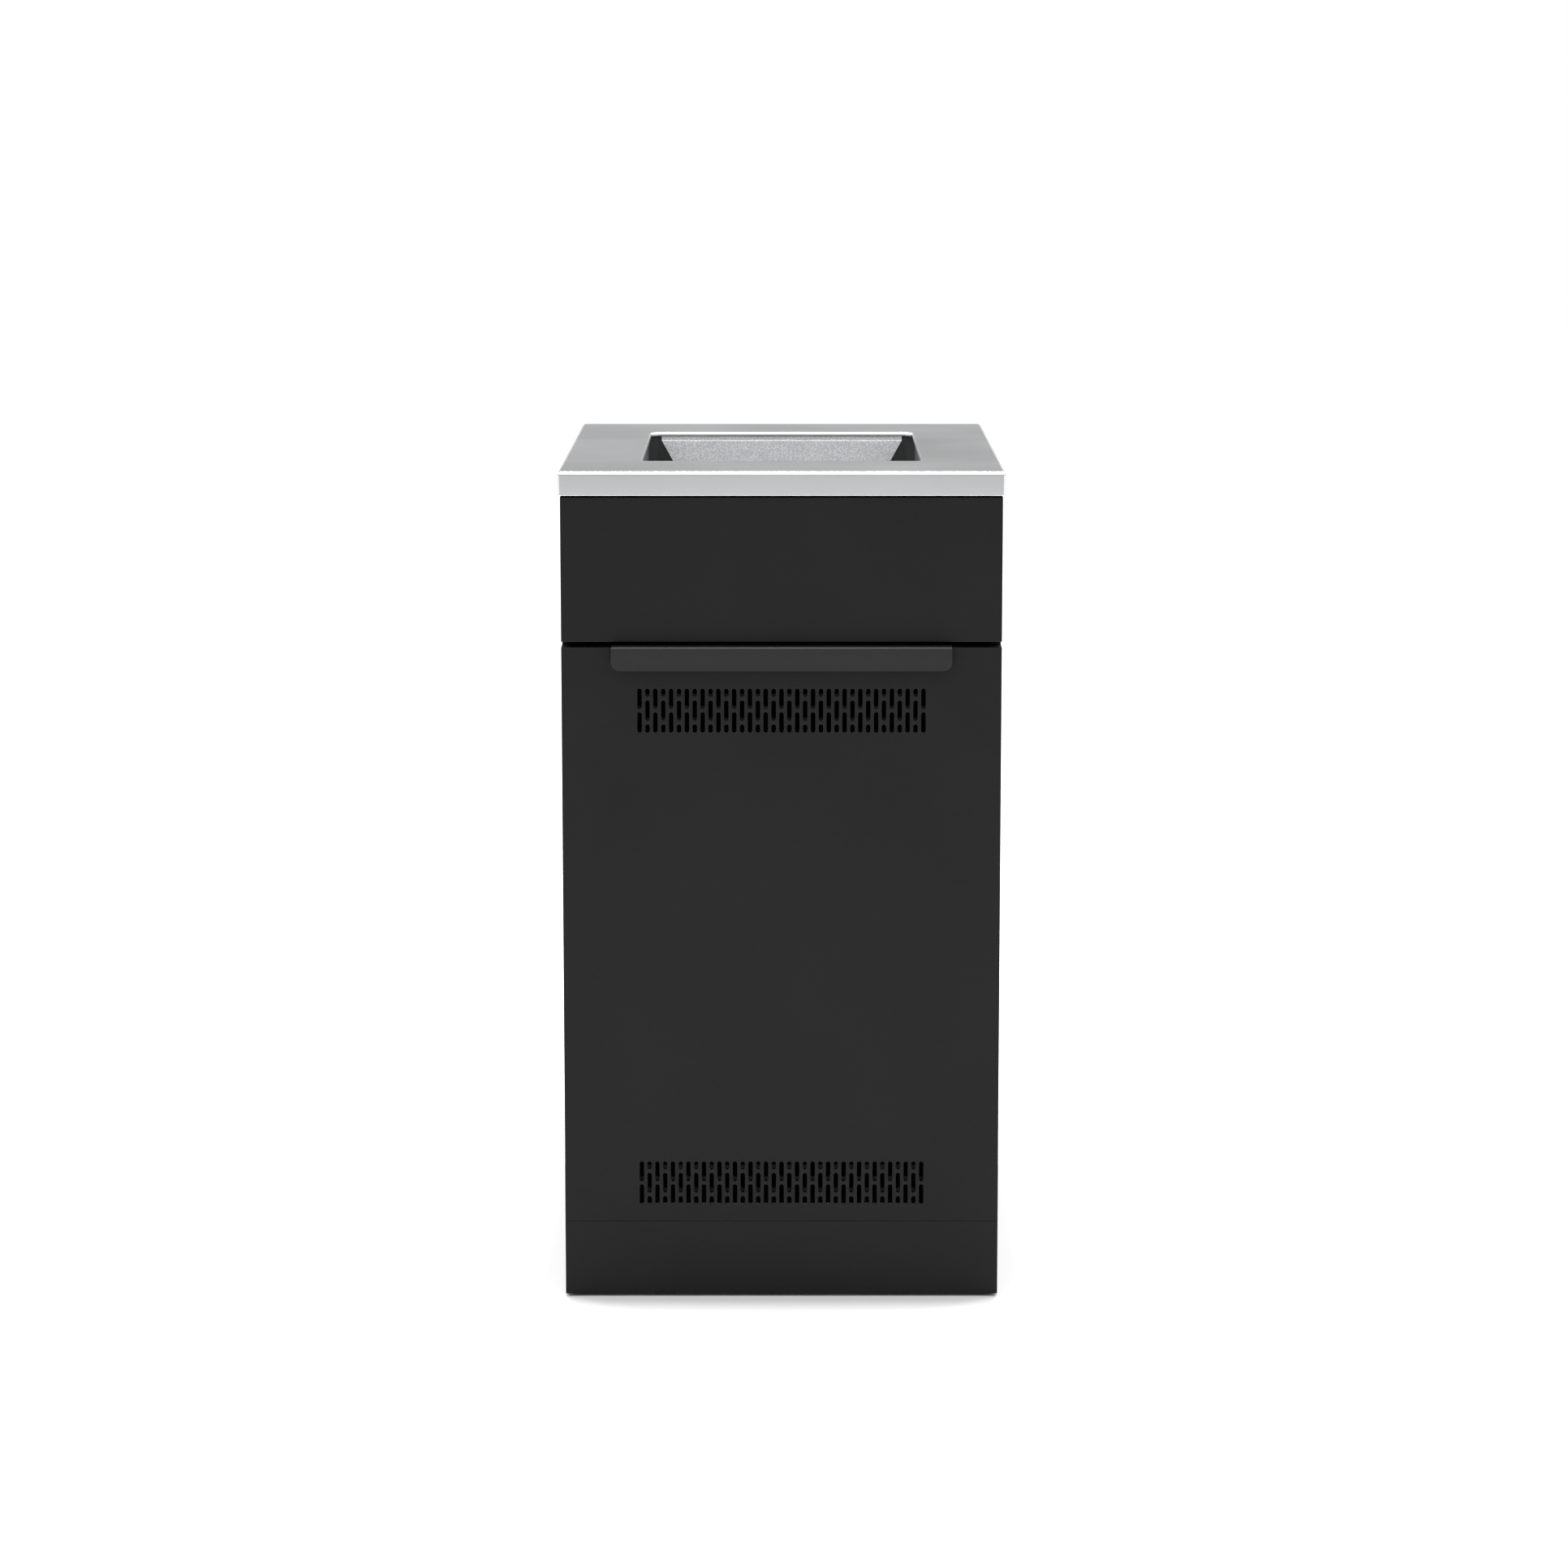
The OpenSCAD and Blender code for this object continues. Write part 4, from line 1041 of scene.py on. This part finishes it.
def make_bearing_plates():
    """Two plates with folds, and the ball bearings of the screws."""
    bearing, rod_r, t = 12, 8.02, 5
    screws = [middle("screw_left"), middle("screw_right")]
    (rod_x0, rod_x1), _, (rod_z0, rod_z1) = span("guide_rods")
    rods = [(rod_x0 + 8, screws[0].y), (rod_x1 - 8, screws[0].y)]
    for name, node in (("top_plate", "upper_bearing_plate"),
                       ("bottom_plate", "lower_bearing_plate")):
        (x0, x1), (y0, y1), (z0, z1) = span(node)
        holes = [circle(s.x, s.y, bearing) for s in screws]
        holes += [circle(*place, rod_r, 24) for place in rods]
        holes.append(circle(0, screws[0].y, 14))
        work = bmesh.new()
        plate(work, fillet(rect(x0, x1, y0, y1), 2), holes, z1 - t, z1, on_z, 0.6)
        brick(work, (x0, x1), (y1 - 4, y1), (z0, z1 - 0.5), 0.8)
        for u in (-200, -75, 75, 200):
            gusset = [(y1 - 24, z1 - t), (y1 - 3, z0 + 3), (y1 - 3, z1 - t)]
            plate(work, gusset, [], u - 1.5, u + 1.5, on_x, 0.3)
        piece(name, work, node)

    _, _, (z0, z1) = span("screw_bearings")
    work = bmesh.new()
    for s in screws:
        for z in (z0, z1 - t):
            tube(work, (s.x, s.y, z), 9.6, 12, 0, t)
            tube(work, (s.x, s.y, z), 8.2, 9.7, 0.6, t - 0.6)
            tube(work, (s.x, s.y, z), 6.06, 8.3, 0, t)
    piece("ball_bearings", work, "screw_bearings")

    end = [(6.8, 0), (8, 1.2), (8, 10), (7.4, 10.4), (7.4, 11.6), (8, 12)]
    profile = [(r, rod_z0 + h) for r, h in end] + [(r, rod_z1 - h) for r, h in end[::-1]]
    work = bmesh.new()
    for u, v in rods:
        lathe(work, profile, (u, v, 0))
    piece("guide_bars", work, "guide_rods")


def make_motor():
    """Worm gearbox, finned motor and run capacitor."""
    (x0, x1), (y0, y1), (z0, z1), centre = around("gearbox")
    top = z1 - 4
    work = bmesh.new()
    brick(work, (x0, x1), (y0, y1), (z0, top), 2, 7)
    brick(work, (x0 - 1, x1 + 1), (y0 - 1, y1 + 1), (top - 12, top - 6), 1, 8)
    for u in (x0 + 10, 0, x1 - 10):
        brick(work, (u - 1.5, u + 1.5), (y0 - 1, y1 + 1), (z0 + 5, top - 8), 0.8)
    for place in corners(centre.x, centre.y, (x1 - x0) / 2 - 9, (y1 - y0) / 2 - 9):
        bolt(work, (*place, z0), -Z_AXIS, 4, 2)
    tube(work, (centre.x, centre.y, top - 1), 5.06, 13, 0, 5)
    piece("gear_case", work, "gearbox")

    (x0, x1), (y0, y1), (z0, z1), centre = around("motor")
    length = x1 - x0
    profile = [(0, 0), (27, 0), (29, 1.5), (29, 8), (31, 9)]
    for k in range(14):
        base = 14 + 7 * k
        profile += [(31, base), (29.6, base + 0.6), (29.6, base + 2.6), (31, base + 3.2)]
    profile += [(31, 117), (29, 119), (26, 120), (26, length - 3), (23, length), (0, length)]
    work = bmesh.new()
    lathe(work, profile, (x1, centre.y, centre.z), -X_AXIS, 48)
    reach = 27 * sqrt(0.5)
    for place in corners(centre.y, centre.z, reach, reach):
        bolt(work, (x0 + 14, *place), -X_AXIS, 2.4, 2)
    piece("motor_can", work, "motor")

    _, _, (z0, z1), centre = around("motor_capacitor")
    work = bmesh.new()
    lathe(work, [(0, z0), (17, z0), (18, z0 + 1), (19, z0 + 5), (20, z0 + 7),
                 (20, z1 - 9), (19, z1 - 8), (20, z1 - 7), (20, z1 - 5),
                 (18.6, z1 - 4), (8, z1 - 4.6), (7, z1), (0, z1)], (centre.x, centre.y, 0))
    tube(work, (centre.x, centre.y, (z0 + z1) / 2), 19.8, 20.6, -6, 6, 0.3)
    piece("capacitor_can", work, "motor_capacitor")


def toothed(u, v, radius, teeth, depth):
    """A round outline with shallow square teeth."""
    points = []
    for k in range(teeth):
        for share, out in ((0, 0), (0.45, 0), (0.55, -depth), (0.9, -depth)):
            a = tau * (k + share) / teeth
            points.append((u + (radius + out) * cos(a), v + (radius + out) * sin(a)))
    return points


def make_pulleys_and_belts():
    """Toothed pulleys with flanges, and the belts with teeth inside."""
    drive = middle("output_shaft")
    height, lip, tooth = 14, 1.5, 2
    _, _, (double_z0, double_z1) = span("drive_pulley")
    lifts = {"pulley_left": double_z0, "pulley_right": double_z1 - height}

    def wheel(work, x, y, z, bore):
        hole = [circle(x, y, bore, 24)]
        plate(work, toothed(x, y, 16, 24, 0.9), hole, z + lip / 2, z + height - lip / 2, on_z, 0.1)
        for base in (z, z + height - lip):
            plate(work, circle(x, y, 19, 40), hole, base, base + lip, on_z, 0.5)

    work = bmesh.new()
    for z in lifts.values():
        wheel(work, drive.x, drive.y, z, 5.01)
    tube(work, (drive.x, drive.y, double_z0 + height - 0.2), 5.2, 10, 0,
         double_z1 - double_z0 - 2 * height + 0.4)
    piece("double_pulley", work, "drive_pulley")
    for node, z in lifts.items():
        centre = middle(node)
        work = bmesh.new()
        wheel(work, centre.x, centre.y, z, 8.01)
        piece(f"{node}_wheel", work, node)

    for node in ("drive_belt_left", "drive_belt_right"):
        (x0, x1), (y0, y1), (z0, z1), centre = around(node)
        outer = round_rect(centre.x, centre.y, x1 - x0, y1 - y0, (y1 - y0) / 2, 24)
        smooth = grow(outer, -1.4)
        line = []
        for i, point in enumerate(smooth):
            start, end = Vector(point), Vector(smooth[(i + 1) % len(smooth)])
            parts = max(1, round((end - start).length / tooth))
            line += [tuple(start.lerp(end, k / parts)) for k in range(parts)]
        inner = grow(line, -0.3)
        inner[1::2] = grow(line, -0.7)[1::2]
        flat_piece(f"{node}_loop", node, outer, [inner], z0, z1, on_z, 0.15)


def make_screws_and_nuts():
    """Threaded lead screws, flanged brass nuts and guide bushes."""
    _, _, (_, plate_top) = span("lower_bearing_plate")
    _, _, (_, upper_top) = span("upper_bearing_plate")
    shoulder = upper_top - 5.5
    for node in ("screw_left", "screw_right"):
        x, y, _ = middle(node)
        _, _, (z0, z1) = span(node)
        work = bmesh.new()
        for low, high, radius in ((z0, plate_top + 1, 6), (plate_top + 0.5, plate_top + 42, 8),
                                  (shoulder - 1, z1, 6)):
            rod(work, (x, y, low), (x, y, high), radius)
        thread(work, (x, y), 6.6, 8, plate_top + 41, shoulder, 10)
        piece(f"lead_{node}", work, node)

    _, _, (z0, z1) = span("screw_nuts")
    work = bmesh.new()
    reach = 17.5 * sqrt(0.5)
    for node in ("screw_left", "screw_right"):
        x, y, _ = middle(node)
        tube(work, (x, y, 0), 8.06, 14, z0, z1, 0.8)
        tube(work, (x, y, 0), 13, 21, z0 + 10, z0 + 16, 0.8)
        for place in corners(x, y, reach, reach):
            bolt(work, (*place, z0 + 10), -Z_AXIS, 2.4, 2)
    piece("flanged_nuts", work, "screw_nuts")

    (x0, x1), _, (z0, z1) = span("guide_bushes")
    work = bmesh.new()
    for x in (x0 + 13, x1 - 13):
        tube(work, (x, middle("screw_left").y, 0), 8.06, 13, z0, z1, 1)
    piece("bush_sleeves", work, "guide_bushes")


def make_ram():
    """Ring frame with posts, the carriage, and the two drop flaps with rolled hubs."""
    (x0, x1), (_, y1), (z0, z1) = span("ram_frame")
    screw_x, screw_y, _ = middle("screw_right")
    _, (hub, cy, pin_z) = named(JOINTS, "right_flap_hinge")
    ring_top = z0 + 28
    half_d, side, end = 200, 15, 14
    outer = round_rect(0, cy, x1 - x0, 2 * half_d, 12)
    hole = rect(x0 + side, x1 - side, cy - half_d + end, cy + half_d - end)
    work = bmesh.new()
    plate(work, outer, [fillet(hole, 0.5, 2)], z0, ring_top, on_z, 0.8)
    for s in (-1, 1):
        lip = sorted((cy + s * (half_d - end + 1), cy + s * (half_d - end - 6)))
        brick(work, (-130, 130), lip, (pin_z + 1.8, ring_top), 0.6)
        post = s * screw_x
        brick(work, (post - 13, post + 13), (y1 - 12, y1 - 2), (ring_top - 1, z1), 1)
    piece("ram_ring", work, "ram_frame")

    (x0, x1), (y0, _), (z0, z1) = span("ram_carriage")
    (_, rod_x1), _, _ = span("guide_rods")
    holes = [circle(s * screw_x, screw_y, 14.01) for s in (-1, 1)]
    holes += [circle(s * (rod_x1 - 8), screw_y, 13.01) for s in (-1, 1)]
    work = bmesh.new()
    plate(work, fillet(rect(x0, x1, screw_y - 24, screw_y + 24), 4), holes, z0, z1, on_z, 1)
    for s in (-1, 1):
        brick(work, (s * screw_x - 22, s * screw_x + 22), (y0, screw_y - 20), (z0, z1), 1)
    piece("carriage_beam", work, "ram_carriage")

    for node, flip in (("flap_left", True), ("flap_right", False)):
        _, (y0, y1), _ = span(node)
        sign = -1 if flip else 1
        work = bmesh.new()
        panel = fillet([(0.8, y0), (hub - 4, y0), (hub - 4, y1), (0.8, y1)], 2)
        plate(work, mirrored(panel, flip), [], pin_z - 1.5, pin_z + 1.5, on_z, 0.6)
        tube(work, (sign * hub, 0, pin_z), 3.06, 5.5, y0, y1, 0.5, 28, Y_AXIS)
        web = sorted((sign * 0.8, sign * 3.8))
        brick(work, web, (y0, y1), (pin_z - 7, pin_z), 0.6)
        for y in (cy - 90, cy, cy + 90):
            rib = sorted((sign * 2, sign * (hub - 12)))
            brick(work, rib, (y - 1.5, y + 1.5), (pin_z - 7, pin_z), 0.6)
        piece(f"{node}_leaf", work, node)


# ---------------- the scene

MATERIALS = make_materials()
make_camera()
make_studio()
for node_name, cad_node in NODES.items():
    cad_node.data.materials.clear()
    cad_node.data.materials.append(MATERIALS[SLOT_OF[node_name]])
UPPER_VENT_Z, LOWER_VENT_Z = middle("upper_filter").z, middle("lower_filter").z
make_worktop()
make_pan("fascia_panel", "fascia")
make_pan("plinth_panel", "plinth", rise=0.6)
make_pan("drawer_panel", "drawer_front", vent_slots(UPPER_VENT_Z) + vent_slots(LOWER_VENT_Z))
make_inner_skin(UPPER_VENT_Z, LOWER_VENT_Z)
make_handle()
make_side_panels()
make_back()
make_inlet_and_switch()
make_fan()
make_floor_parts()
make_chute()
make_electrics()
make_slides()
make_filter("upper_cassette", "upper_filter")
make_filter("lower_cassette", "lower_filter")
make_drawer_inside()
make_bearing_plates()
make_motor()
make_pulleys_and_belts()
make_screws_and_nuts()
make_ram()
